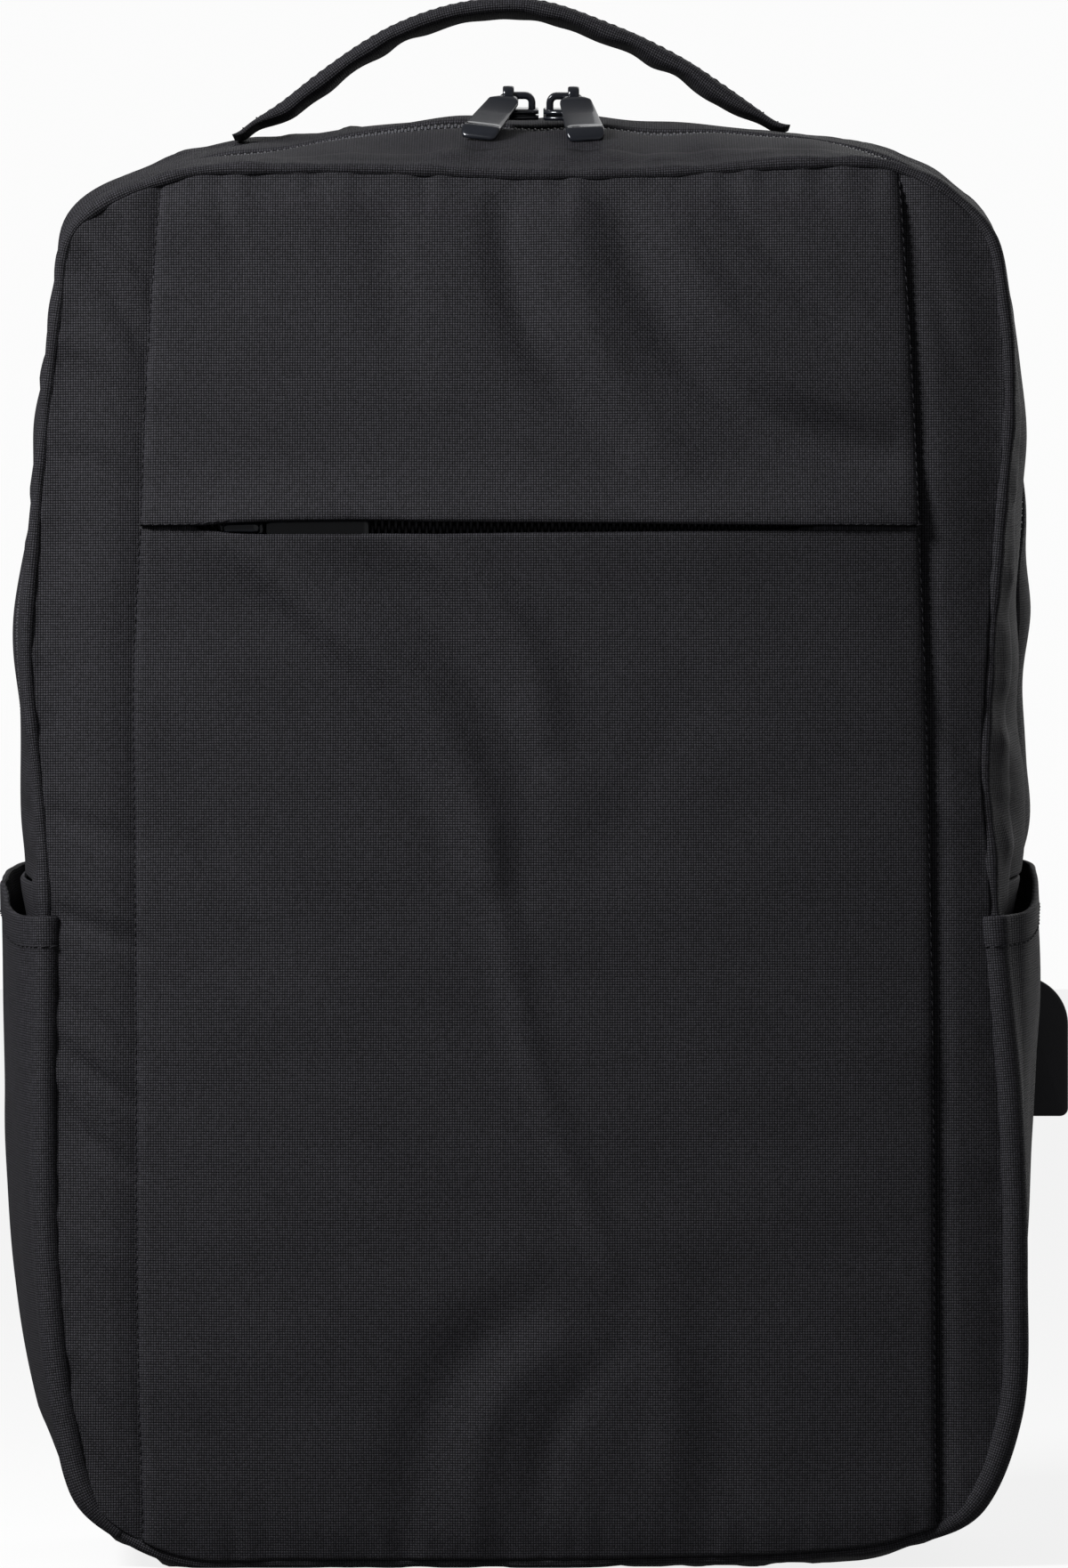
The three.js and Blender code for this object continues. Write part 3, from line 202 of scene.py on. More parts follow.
FRONT_FOLDS = (
    Fold(((-0.04, 1.01), (-0.026, 0.939), (0.02, 0.883), (0.125, 0.835), (0.21, 0.815)), 6.5, -2.6),
    Fold(((0.10, 1.00), (0.12, 0.93), (0.19, 0.86), (0.33, 0.80)), 7.0, 1.5),
    Fold(((0.20, 1.01), (0.225, 0.947), (0.333, 0.875), (0.496, 0.827), (0.751, 0.803)), 7.5, -3.4),
    Fold(((0.33, 0.96), (0.46, 0.885), (0.66, 0.838), (0.74, 0.83)), 6.0, 2.0),
    Fold(((0.42, 1.00), (0.52, 0.95), (0.66, 0.90)), 5.0, -1.4),
    Fold(((-0.29, 1.00), (-0.27, 0.92), (-0.22, 0.87)), 8.0, -1.4),
    Fold(((-0.62, 1.00), (-0.58, 0.92)), 4.0, -0.5),
    Fold(((-0.46, 1.00), (-0.43, 0.94)), 4.0, 0.4),
    Fold(((-0.64, 0.735), (-0.52, 0.690), (-0.36, 0.640), (-0.24, 0.585), (-0.15, 0.520)), 5.0, -1.3),
    Fold(((-0.60, 0.742), (-0.40, 0.690), (-0.20, 0.630), (-0.10, 0.575), (-0.06, 0.505)), 7.0, 3.2),
    Fold(((-0.34, 0.742), (-0.20, 0.695), (-0.06, 0.632), (0.02, 0.585)), 6.5, -2.4),
    Fold(((-0.20, 0.742), (-0.05, 0.700), (0.045, 0.650), (0.06, 0.605)), 6.0, 2.2),
    Fold(((0.02, 0.585), (0.00, 0.53), (-0.01, 0.46)), 6.0, -0.6),
    Fold(((-0.06, 0.53), (-0.035, 0.470), (0.02, 0.369), (0.10, 0.297), (0.20, 0.215)), 5.0, 1.5),
    Fold(((-0.70, 0.57), (-0.62, 0.50), (-0.52, 0.44), (-0.42, 0.41)), 5.5, -0.8),
    Fold(((0.36, 0.63), (0.24, 0.56), (0.16, 0.50)), 9.0, -0.6),
    Fold(((0.05, 0.20), (-0.13, 0.155), (-0.21, 0.09), (-0.22, 0.015)), 9.0, -1.9),
    Fold(((0.08, 0.165), (-0.05, 0.125), (-0.10, 0.056), (-0.10, 0.012)), 6.0, 1.1),
    Fold(((0.19, 0.155), (0.07, 0.105), (0.03, 0.032)), 6.0, -1.3),
    Fold(((0.28, 0.19), (0.33, 0.12), (0.30, 0.03)), 7.0, 1.2),
    Fold(((0.38, 0.20), (0.44, 0.11), (0.41, 0.03)), 9.0, -1.2),
    Fold(((-0.66, 0.11), (-0.58, 0.07), (-0.50, 0.02)), 5.0, -0.7),
    Fold(((-0.93, 1.00), (-0.87, 0.975), (-0.76, 0.93)), 3.8, -2.0),
    Fold(((-0.94, 0.955), (-0.87, 0.935), (-0.76, 0.87)), 4.2, -2.4),
    Fold(((-0.96, 0.875), (-0.88, 0.86), (-0.77, 0.82)), 4.2, -1.8),
    Fold(((-0.95, 0.805), (-0.88, 0.80), (-0.80, 0.775)), 3.8, -1.0),
    Fold(((-0.99, 0.55), (-0.90, 0.535), (-0.79, 0.52)), 3.6, -1.2),
    Fold(((-0.98, 0.475), (-0.90, 0.465), (-0.79, 0.448)), 3.4, -1.7),
    Fold(((-0.98, 0.42), (-0.90, 0.40), (-0.79, 0.365)), 3.2, -1.3),
    Fold(((-0.98, 0.385), (-0.90, 0.36), (-0.80, 0.335)), 3.0, -1.7),
    Fold(((-0.97, 0.345), (-0.90, 0.31), (-0.80, 0.285)), 3.2, -1.4),
    Fold(((-0.96, 0.25), (-0.90, 0.235), (-0.81, 0.215)), 3.6, 0.8),
    Fold(((-0.95, 0.15), (-0.88, 0.12), (-0.80, 0.08)), 4.0, -1.5),
    Fold(((-0.93, 0.10), (-0.86, 0.07), (-0.79, 0.035)), 3.6, -1.5),
    Fold(((0.85, 0.63), (0.92, 0.60), (1.00, 0.565)), 4.5, -1.2),
    Fold(((0.85, 0.545), (0.93, 0.52), (1.00, 0.50)), 4.0, -1.3),
    Fold(((0.86, 0.36), (0.93, 0.32), (1.00, 0.30)), 4.5, -0.9),
    Fold(((0.82, 0.97), (0.87, 0.92), (0.92, 0.86)), 4.0, -0.9),
)
SIDE_FOLDS = (
    Pucker("left", 0.57, 0.45, 0.9, -0.6),
    Pucker("left", 0.68, 0.50, 1.1, 0.6),
    Pucker("left", 0.78, 0.60, 1.0, -0.7),
    Pucker("left", 0.88, 0.70, 1.0, -0.5),
    Pucker("right", 0.60, 0.80, 1.2, -0.8),
    Pucker("right", 0.70, 0.66, 1.3, 0.6),
    Pucker("right", 0.82, 0.60, 1.1, -0.6),
    Pucker("top", -0.30, 0.16, 0.9, -0.4),
    Pucker("top", 0.30, 0.16, 0.9, -0.5),
    Pucker("top", 0.55, 0.60, 1.2, -0.5),
    Pucker("top", -0.45, 0.65, 1.2, -0.4),
)
POCKETS = (
    PocketRow(0.02, 0.20, 0.15),
    PocketRow(0.11, 0.64, 0.22),
    PocketRow(0.21, 0.91, 0.28),
    PocketRow(0.33, 1.01, 0.56),
    PocketRow(0.42, 1.09, 1.00),
    PocketRow(0.50, 1.07, 1.08),
)
HANDLE = (
    HandleRow(-1.02, -0.02),
    HandleRow(-0.88, 0.17),
    HandleRow(-0.74, 0.40),
    HandleRow(-0.48, 0.75),
    HandleRow(-0.21, 0.94),
    HandleRow(0.06, 0.96),
    HandleRow(0.32, 0.79),
    HandleRow(0.59, 0.53),
    HandleRow(0.85, 0.17),
    HandleRow(0.96, 0.00),
)


@dataclass(frozen=True)
class BagSizes:
    """Sizes that several pieces share, in metres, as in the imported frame."""

    front_half: float = 0.142
    front_top: float = 0.411
    back_flare: float = 0.004
    back_rise: float = 0.021
    corner_drop: float = 0.013
    depth: float = 0.124
    crown: float = 0.009
    side_swell: float = 0.012
    top_swell: float = 0.010
    base_swell: float = 0.005
    cloth: float = 0.002
    gap: float = 0.00035
    seat: float = 0.0004
    welt: float = 0.002
    proud: float = 0.003
    side_fold_lift: float = 0.003
    side_fold_reach: float = 0.016

    @property
    def back_half(self) -> float:
        """Half width of the back."""
        return self.front_half + self.back_flare

    @property
    def back_top(self) -> float:
        """Height of the back seam on the top."""
        return self.front_top + self.back_rise

    @property
    def front_y(self) -> float:
        """Plane of the front seam."""
        return -self.depth / 2

    @property
    def back_y(self) -> float:
        """Plane of the back seam."""
        return self.depth / 2

    @property
    def inset(self) -> float:
        """How far the side cloth keeps from the seam planes."""
        return self.welt + self.gap


BAG = BagSizes()


# Small maths on arrays


def xyz(x: Array, y: Array, z: Array) -> Array:
    """Points from their three coordinates."""
    return np.stack([x, y, z], axis=-1)


def pairs(a: Array, b: Array) -> Array:
    """Places on a plane from their two coordinates."""
    return np.stack([a, b], axis=-1)


def same(way: Sequence[float], count: int) -> Array:
    """One direction, repeated."""
    return np.tile(way, (count, 1))


def bell(d: Array) -> Array:
    """A smooth bump of height one."""
    return np.exp(-np.square(d))


def smooth(low: float, high: float, value: Array) -> Array:
    """Nought below low, one above high, smooth between them."""
    u = np.clip((value - low) / (high - low), 0, 1)
    return u * u * (3 - 2 * u)


def softened(line: Array, times: int) -> Array:
    """A line with its bends eased a number of times and its ends kept."""
    for _ in range(times):
        line[1:-1] = (line[:-2] + 2 * line[1:-1] + line[2:]) / 4
    return line


def unit(v: Array) -> Array:
    """The same directions with length one."""
    return v / np.maximum(np.linalg.norm(v, axis=-1, keepdims=True), 1e-12)


def hermite(x: Array, y: Array, slope: Array, at: Array) -> Array:
    """Heights of a smooth curve at some places.

    Args:
        x: its knots, rising.
        y: its heights at the knots.
        slope: its slopes at the knots.
        at: the places, within the knots.

    Returns:
        The heights.
    """
    i = np.clip(np.searchsorted(x, at, side="right") - 1, 0, len(x) - 2)
    span = x[i + 1] - x[i]
    u = (at - x[i]) / span
    fade = u * u * (3 - 2 * u)
    leave = u * (1 - u) ** 2 * span * slope[i]
    arrive = u * u * (1 - u) * span * slope[i + 1]
    return y[i] * (1 - fade) + y[i + 1] * fade + leave - arrive


def curve_through(rows: Sequence[NamedTuple], key: str, name: str) -> Callable[[Array], Array]:
    """A smooth curve through one column of a table, held level past its ends.

    Args:
        rows: the table, rising in key.
        key: the column that is read along.
        name: the column whose values are given.

    Returns:
        A function of an array.
    """
    x = np.array([getattr(row, key) for row in rows])
    y = np.array([getattr(row, name) for row in rows])
    low = np.maximum(np.arange(len(x)) - 1, 0)
    high = np.minimum(np.arange(len(x)) + 1, len(x) - 1)
    slope = (y[high] - y[low]) / (x[high] - x[low])

    return lambda at: hermite(x, y, slope, np.clip(np.asarray(at, float), x[0], x[-1]))


@dataclass(frozen=True)
class Ripples:
    """Gentle irregular waves, made of a few seeded plane waves.

    Attributes:
        seed: picks the waves.
        longest: longest wave, in metres.
        shortest: shortest wave, in metres.
        lift: height of the waves, in metres.
        count: number of waves.
    """

    seed: int
    longest: float
    shortest: float
    lift: float
    count: int = 9

    def at(self, u: Array, v: Array) -> Array:
        """Height of the waves at places along two directions, in metres."""
        rng = np.random.default_rng(self.seed)
        total = np.zeros(np.broadcast(u, v).shape)
        for _ in range(self.count):
            length = rng.uniform(self.shortest, self.longest)
            turn = rng.uniform(0, math.pi)
            phase = rng.uniform(0, 2 * math.pi)
            way = (math.cos(turn) * u + math.sin(turn) * v) * (2 * math.pi / length)
            total = total + np.sin(way + phase) * (length / self.longest)
        return total * self.lift / math.sqrt(self.count)


# The seam loop that all the cloth follows


class Rim(NamedTuple):
    """Places on the seam: where they are, which way is outwards, and how far the cloth swells."""

    x: Array
    z: Array
    swell: Array
    out_x: Array
    out_z: Array


@dataclass
class SeamLoop:
    """The front seam as a closed loop, up the left side, over the top, down the right, along the base."""

    bag: BagSizes = BAG
    samples: int = 1440

    def __post_init__(self) -> None:
        """Runs a smooth curve through the tables."""
        b = self.bag
        knots = [(-r.left * b.front_half, r.z * b.front_top, r.left_swell * b.side_swell) for r in SIDES]
        knots += [(r.x * b.front_half, r.top * b.front_top, r.top_swell * b.top_swell) for r in EDGES]
        knots += [(r.right * b.front_half, r.z * b.front_top, r.right_swell * b.side_swell) for r in reversed(SIDES)]
        knots += [(r.x * b.front_half, r.base * b.front_top, r.base_swell * b.base_swell) for r in reversed(EDGES)]
        self.spots = self._through(np.array(knots))
        step = np.linalg.norm(np.diff(self.spots[:, :2], axis=0), axis=1)
        self.run = np.concatenate([[0], np.cumsum(step)])
        self.long = float(self.run[-1])
        ring = self.spots[:-1, :2]
        ahead = unit(np.roll(ring, -3, axis=0) - np.roll(ring, 3, axis=0))
        out = pairs(-ahead[:, 1], ahead[:, 0])
        self.out = np.vstack([out, out[:1]])

    def _through(self, knots: Array) -> Array:
        """Points of a closed centripetal curve through the knots."""
        count = len(knots)
        at = np.linspace(0, count, self.samples + 1)
        i = np.minimum(at.astype(int), count - 1)
        u = (at - i)[:, None]
        p = [knots[(i + k) % count] for k in (-1, 0, 1, 2)]
        gaps = [np.sqrt(np.linalg.norm((p[k + 1] - p[k]) * 1000, axis=1))[:, None] for k in range(3)]
        d0, d1, d2 = gaps
        leave = ((p[1] - p[0]) / d0 - (p[2] - p[0]) / (d0 + d1) + (p[2] - p[1]) / d1) * d1
        arrive = ((p[2] - p[1]) / d1 - (p[3] - p[1]) / (d1 + d2) + (p[3] - p[2]) / d2) * d1
        bend = -3 * p[1] + 3 * p[2] - 2 * leave - arrive
        twist = 2 * p[1] - 2 * p[2] + leave + arrive
        return p[1] + leave * u + bend * u**2 + twist * u**3

    def at(self, share: Array) -> Rim:
        """The seam at shares of its length."""
        s = (np.asarray(share, float) % 1.0) * self.long
        x, z, swell = (np.interp(s, self.run, self.spots[:, k]) for k in range(3))
        out_x, out_z = (np.interp(s, self.run, self.out[:, k]) for k in range(2))
        size = np.hypot(out_x, out_z)
        return Rim(x, z, swell, out_x / size, out_z / size)

    def _where(self, inside: Array, value: Array) -> float:
        """The share where a value passes nought, within part of the loop."""
        hits = inside[:-1] & (value[:-1] * value[1:] <= 0) & (value[:-1] != value[1:])
        i = int(np.flatnonzero(hits)[0])
        u = value[i] / (value[i] - value[i + 1])
        return float((self.run[i] + (self.run[i + 1] - self.run[i]) * u) / self.long)

    def on_side(self, side: Side, z: float) -> float:
        """Share of the seam at a height on one side."""
        inside = self.spots[:, 0] * side.value > self.bag.front_half * 0.6
        return self._where(inside, self.spots[:, 1] - z)

    def on_top(self, x: float) -> float:
        """Share of the seam at a place across the top."""
        return self._where(self.spots[:, 1] > self.bag.front_top / 2, self.spots[:, 0] - x)

    def on_base(self, x: float) -> float:
        """Share of the seam at a place across the base."""
        return self._where(self.spots[:, 1] < self.bag.front_top / 2, self.spots[:, 0] - x)


LOOP = SeamLoop()


@dataclass
class SideCloth:
    """The cloth round the sides: places by share of the seam and share of the depth."""

    bag: BagSizes = BAG
    loop: SeamLoop = field(default_factory=lambda: LOOP)
    ripples: Ripples = Ripples(seed=5, longest=0.06, shortest=0.018, lift=0.0009)
    seam_puckers: Ripples = Ripples(seed=9, longest=0.018, shortest=0.007, lift=0.0009)
    groove: float = 0.0011
    pinch: float = 0.0034
    pinch_from: float = 0.50
    pinch_to: float = 0.70

    def __post_init__(self) -> None:
        """Finds where the puckers lie on the seam."""
        finders = {
            "left": lambda at: self.loop.on_side(Side.LEFT, at * self.bag.front_top),
            "right": lambda at: self.loop.on_side(Side.RIGHT, at * self.bag.front_top),
            "top": lambda at: self.loop.on_top(at * self.bag.front_half),
        }
        self.places = [(finders[row.on](row.at), row) for row in SIDE_FOLDS]
        peak = 0.375
        self.peak = peak**0.6 * (1 - peak)

    def swell_at(self, depth: Array) -> Array:
        """How much of the swell shows at a share of the depth."""
        u = np.clip(depth, 0, 1)
        return u**0.6 * (1 - u) / self.peak

    def pucker(self, share: Array, depth: Array) -> Array:
        """Height of the puckers."""
        total = np.zeros(np.broadcast(share, depth).shape)
        for place, row in self.places:
            reach = row.reach * self.bag.side_fold_reach
            along = np.abs(share % 1.0 - place) * self.loop.long / reach
            across = (depth - row.depth) * self.bag.depth / (reach * 1.6)
            total = total + row.lift * self.bag.side_fold_lift * bell(along) * bell(across)
        return total

    def zip_fold(self, share: Array, depth: Array) -> Array:
        """Height of the cloth that rolls in on both sides of the main zip.

        Args:
            share: shares of the seam's length.
            depth: shares of the depth.

        Returns:
            The height; the lower right side is pinched, and bulges behind the zip.
        """
        low = self.loop.on_side(Side.RIGHT, self.pinch_from * self.bag.front_top)
        high = self.loop.on_side(Side.RIGHT, self.pinch_to * self.bag.front_top)
        middle, half = (low + high) / 2, abs(high - low) / 2
        pinched = 1 - smooth(0.7, 1.5, np.abs(share % 1.0 - middle) / half)
        upper = 1 - smooth(0.0, 0.02, np.abs(share % 1.0 - 0.5) - 0.25)
        dip = (self.groove * np.clip(upper, 0, 1) + self.pinch * pinched) * bell((depth - 0.34) / 0.075)
        return 0.0028 * pinched * bell((depth - 0.60) / 0.16) - dip

    def carried(self, x: Array, z: Array, depth: Array) -> tuple[Array, Array]:
        """A place of the seam carried back, where the outline grows and its corners round off."""
        b = self.bag
        corner = np.abs(x / b.front_half) ** 1.5 * np.maximum(z / b.front_top, 0) ** 8
        widen = 1 + (b.back_half / b.front_half - 1) * depth
        raise_ = 1 + (b.back_top / b.front_top - 1) * depth
        return x * widen, z * raise_ - b.corner_drop * corner * depth

    def share_of_depth(self, y: Array) -> Array:
        """Share of the depth at a distance from the middle."""
        b = self.bag
        return np.clip((y - b.front_y - b.inset) / (b.depth - 2 * b.inset), 0, 1)

    def point(self, share: Array, depth: Array, lift: Array = 0.0, crumpled: bool = True) -> Array:
        """Points of the side cloth's outer skin.

        Args:
            share: shares of the seam's length.
            depth: shares of the depth.
            lift: height over the skin, in metres.
            crumpled: whether the fine ripples show.

        Returns:
            An array of points.
        """
        b = self.bag
        share, depth = np.broadcast_arrays(np.asarray(share, float), np.asarray(depth, float))
        rim = self.loop.at(share)
        out = b.welt + b.cloth / 2 + rim.swell * self.swell_at(depth) + self.pucker(share, depth) + lift
        if crumpled:
            along, across = share * self.loop.long, depth * b.depth
            free = smooth(0.0, 0.12, depth) * smooth(0.0, 0.12, 1 - depth)
            near = bell(depth / 0.09) + bell((1 - depth) / 0.09)
            out = out + self.ripples.at(along, across) * free + self.zip_fold(share, depth)
            sewn = self.seam_puckers.at(along, across * 0.2) * near
            out = out + sewn * smooth(0, 0.02, depth) * smooth(0, 0.02, 1 - depth)
        x, z = self.carried(rim.x, rim.z, depth)
        y = b.front_y + b.inset + (b.depth - 2 * b.inset) * depth
        return xyz(x + rim.out_x * out, y, np.maximum(z + rim.out_z * out, LOWEST))

    def top_height(self, x: Array, y: Array) -> Array:
        """Height of the top cloth at places on it."""
        x, y = np.broadcast_arrays(np.asarray(x, float), np.asarray(y, float))
        depth = self.share_of_depth(y)
        first, last = (self.loop.on_top(w * self.bag.front_half * 0.9) for w in (-1, 1))
        shares = np.linspace(first, last, 200)
        flat_x, flat_t = x.ravel(), depth.ravel()
        found = np.empty(flat_x.shape)
        for i, (px, t) in enumerate(zip(flat_x, flat_t)):
            line = self.point(shares, t, crumpled=False)
            found[i] = np.interp(px, line[:, 0], line[:, 2])
        return found.reshape(x.shape)


CLOTH = SideCloth()


# Meshes


class Draft:
    """A mesh being gathered from parts, with a place on the cloth for each face corner."""

    def __init__(self) -> None:
        """Starts empty."""
        self.points: list[Array] = []
        self.faces: list[list[int]] = []
        self.corners: list[Array] = []
        self.count = 0

    def add(self, points: Array, faces: Sequence[Sequence[int]], corners: Array | None = None) -> None:
        """Adds a part.

        Args:
            points: its points.
            faces: its faces, by number of point.
            corners: a place on the cloth, in metres, for each face corner in turn.
        """
        points = np.asarray(points, float).reshape(-1, 3)
        faces = [[int(k) for k in face] for face in faces]
        if corners is None:
            flat = np.concatenate([points[face][:, [0, 2]] for face in faces])
            corners = flat
        self.points.append(points)
        self.faces += [[k + self.count for k in face] for face in faces]
        self.corners.append(np.asarray(corners, float).reshape(-1, 2))
        self.count += len(points)

    def finish(self, name: str) -> Object:
        """Makes the object under a name, linked to the scene and smoothly shaded."""
        points = np.concatenate(self.points)
        mesh = bpy.data.meshes.new(name)
        mesh.from_pydata(points.tolist(), [], self.faces)
        layer = mesh.uv_layers.new(name="cloth")
        layer.data.foreach_set("uv", np.concatenate(self.corners).astype(np.float32).ravel())
        mesh.polygons.foreach_set("use_smooth", np.ones(len(self.faces), bool))
        mesh.validate()
        obj = bpy.data.objects.new(name, mesh)
        bpy.context.scene.collection.objects.link(obj)
        return obj


def volume(points: Array, faces: Sequence[Sequence[int]]) -> float:
    """Six times the volume inside some faces."""
    total = 0.0
    for face in faces:
        for k in range(1, len(face) - 1):
            a, b, c = points[face[0]], points[face[k]], points[face[k + 1]]
            total += float(np.dot(a, np.cross(b, c)))
    return total


def spaced(count: int, long: float, edge: float) -> Array:
    """Shares from 0 to 1 that crowd at both ends, so that an edge can be rounded.

    Args:
        count: number of even steps between the edges.
        long: the real length, in metres.
        edge: how wide each rounded edge is, in metres.

    Returns:
        The shares.
    """
    e = min(edge / long, 0.2)
    start = e * np.array([0, 0.04, 0.16, 0.38, 0.68])
    return np.concatenate([start, np.linspace(e, 1 - e, count + 1), 1 - start[::-1]])


@dataclass
class ClothSheet:
    """A sheet of cloth with two skins and rounded edges.

    Attributes:
        name: name of the piece.
        skin: rows by columns of points on its outer skin.
        thick: thickness, in metres, as one number or one for each point.
        heart: a point on its inner side.
        edge: how far in from the border the skins round over.
        plan: places on the flat cloth, in metres, one for each point.
        facing: the outer skin's directions, one for each point, where they are known.
    """

    name: str
    skin: Array
    thick: float | Array
    heart: tuple[float, float, float] = (0.0, 0.0, 0.2)
    edge: float = 0.0012
    plan: Array | None = None
    facing: Array | None = None

    def __post_init__(self) -> None:
        """Works out the skin's directions and lengths."""
        normal = self.facing
        if normal is None:
            normal = unit(np.cross(np.gradient(self.skin, axis=0), np.gradient(self.skin, axis=1)))
        mid = tuple(n // 2 for n in self.skin.shape[:2])
        if np.dot(normal[mid], self.skin[mid] - np.array(self.heart)) < 0:
            normal = -normal
        self.normal = normal
        self.down = self._lengths(0)
        self.across = self._lengths(1)
        if self.plan is None:
            self.plan = pairs(self.across, self.down)

    def _lengths(self, axis: int) -> Array:
        """Lengths along the grid from its first row or column."""
        step = np.linalg.norm(np.diff(self.skin, axis=axis), axis=2)
        total = np.cumsum(step, axis=axis)
        start = np.zeros_like(np.take(total, [0], axis=axis))
        return np.concatenate([start, total], axis=axis)

    def flat_size(self) -> tuple[float, float, float]:
        """Width, length and area of the cut cloth, in metres."""
        width, length = float(self.across[:, -1].max()), float(self.down[-1].max())
        a, b = self.skin[1:, 1:] - self.skin[:-1, :-1], self.skin[1:, :-1] - self.skin[:-1, 1:]
        area = float(np.linalg.norm(np.cross(a, b), axis=2).sum() / 2)
        return round(width, 4), round(length, 4), round(min(area, width * length), 5)

    def build(self) -> Object:
        """Makes the sheet as one closed mesh."""
        rows, cols = self.skin.shape[:2]
        to_row = np.minimum(self.down, self.down[-1:] - self.down)
        to_col = np.minimum(self.across, self.across[:, -1:] - self.across)
        near = np.clip(np.minimum(to_row, to_col) / self.edge, 0, 1)
        half = np.sqrt(np.maximum(1 - (1 - near) ** 2, 0))[..., None]
        thick = np.broadcast_to(np.asarray(self.thick, float), (rows, cols))[..., None]
        outer = self.skin - self.normal * thick * (1 - half) / 2
        inner = self.skin - self.normal * thick * (1 + half) / 2
        outer_id = np.arange(rows * cols).reshape(rows, cols)
        inner_id = outer_id.copy()
        within = np.zeros((rows, cols), bool)
        within[1:-1, 1:-1] = True
        inner_id[within] = rows * cols + np.arange(int(within.sum()))
        points = np.concatenate([outer.reshape(-1, 3), inner[within]])
        plan = self.plan.reshape(-1, 2)
        plan = np.concatenate([plan, self.plan[within]])
        faces = np.concatenate([self._quads(outer_id, False), self._quads(inner_id, True)])
        mid = self._quads(outer_id, False)[(rows // 2) * (cols - 1) + cols // 2]
        a, b, c = points[mid[0]], points[mid[1]], points[mid[2]]
        i, j = divmod(int(mid[0]), cols)
        if np.dot(np.cross(b - a, c - a), self.normal[i, j]) < 0:
            faces = faces[:, ::-1]
        draft = Draft()
        draft.add(points, faces, plan[faces].reshape(-1, 2))
        return draft.finish(self.name)

    @staticmethod
    def _quads(ids: Array, turned: bool) -> Array:
        """Four-cornered faces of a grid of point numbers."""
        quads = np.stack([ids[:-1, :-1], ids[1:, :-1], ids[1:, 1:], ids[:-1, 1:]], axis=-1).reshape(-1, 4)
        return quads[:, ::-1] if turned else quads

    def line(self, run: Run, inset: float, from_end: bool = False) -> tuple[Array, Array]:
        """A line on the outer skin at a distance from one border.

        Args:
            run: ALONG_ROWS for a line that crosses every row, ALONG_COLUMNS for one that crosses every column.
            inset: distance from the border, in metres.
            from_end: whether the border is the last one.

        Returns:
            Its points and the cloth's directions there.
        """
        skin, normal, lengths = self.skin, self.normal, self.across
        if run is Run.ALONG_COLUMNS:
            skin, normal, lengths = skin.swapaxes(0, 1), normal.swapaxes(0, 1), self.down.T
        points, ways = [], []
        for line, way, long in zip(skin, normal, lengths):
            at = long[-1] - inset if from_end else inset
            points.append([np.interp(at, long, line[:, k]) for k in range(3)])
            ways.append([np.interp(at, long, way[:, k]) for k in range(3)])
        return np.array(points), unit(np.array(ways))


@dataclass
class Ringed:
    """A solid through rings of points.

    Attributes:
        name: name of the piece.
        rings: rings by points.
        closed: whether the last ring joins the first.
    """

    name: str
    rings: Array
    closed: bool = False

    def draft(self, into: Draft | None = None) -> Draft:
        """Adds the solid to a draft, with lengths round and along as the places on its cloth."""
        rings = self.rings
        count, sides = rings.shape[:2]
        ids = np.arange(count * sides).reshape(count, sides)
        last = count if self.closed else count - 1
        a = ids[np.arange(last)]
        b = ids[(np.arange(last) + 1) % count]
        turn = np.roll(np.arange(sides), -1)
        faces = np.stack([a, b, b[:, turn], a[:, turn]], axis=-1).reshape(-1, 4)
        middle = rings.mean(axis=1)
        step = np.linalg.norm(np.roll(middle, -1, axis=0) - middle, axis=1)
        along = np.concatenate([[0], np.cumsum(step)])
        around = np.linalg.norm(np.roll(rings, -1, axis=1) - rings, axis=2).mean(axis=0)
        round_it = np.concatenate([[0], np.cumsum(around)])
        i, j = np.meshgrid(np.arange(last), np.arange(sides), indexing="ij")
        u = np.stack([round_it[j], round_it[j], round_it[j + 1], round_it[j + 1]], axis=-1)
        v = np.stack([along[i], along[i + 1], along[i + 1], along[i]], axis=-1)
        corners = pairs(u, v).reshape(-1, 2)
        faces = [list(face) for face in faces]
        points = rings.reshape(-1, 3)
        if not self.closed:
            for ring, order in ((ids[0], 1), (ids[-1], -1)):
                faces.append(list(ring[::order]))
                near = points[ring[::order]]
                corners = np.concatenate([corners, near[:, [0, 1]]])
        if volume(points - points.mean(0), faces) < 0:
            lengths = [len(face) for face in faces]
            starts = np.concatenate([[0], np.cumsum(lengths)])
            order = np.concatenate([np.arange(starts[k], starts[k + 1])[::-1] for k in range(len(faces))])
            faces = [face[::-1] for face in faces]
            corners = corners[order]
        draft = into or Draft()
        draft.add(points, faces, corners)
        return draft

    def build(self) -> Object:
        """Makes the object."""
        return self.draft().finish(self.name)


def oval(sides: int, square: float = 2.0) -> Array:
    """Points round an oval of half width and half height one, squarer as square grows."""
    turn = np.linspace(0, 2 * math.pi, sides, endpoint=False)
    power = 2 / square
    round_ring = pairs(np.cos(turn), np.sin(turn))
    return np.sign(round_ring) * np.abs(round_ring) ** power


def swept(middle: Array, wide_way: Array, thick_way: Array, wide: Array, thick: Array, shape: Array) -> Array:
    """Rings of a shape along a line.

    Args:
        middle: points of the line.
        wide_way: direction of the width at each point.
        thick_way: direction of the thickness at each point.
        wide: full width at each point.
        thick: full thickness at each point.
        shape: points of the shape, from -1 to 1 both ways.

    Returns:
        Rings by points.
    """
    wide = np.broadcast_to(wide, len(middle))[:, None, None]
    thick = np.broadcast_to(thick, len(middle))[:, None, None]
    across = wide_way[:, None, :] * shape[None, :, :1] * wide / 2
    out = thick_way[:, None, :] * shape[None, :, 1:] * thick / 2
    return middle[:, None, :] + across + out


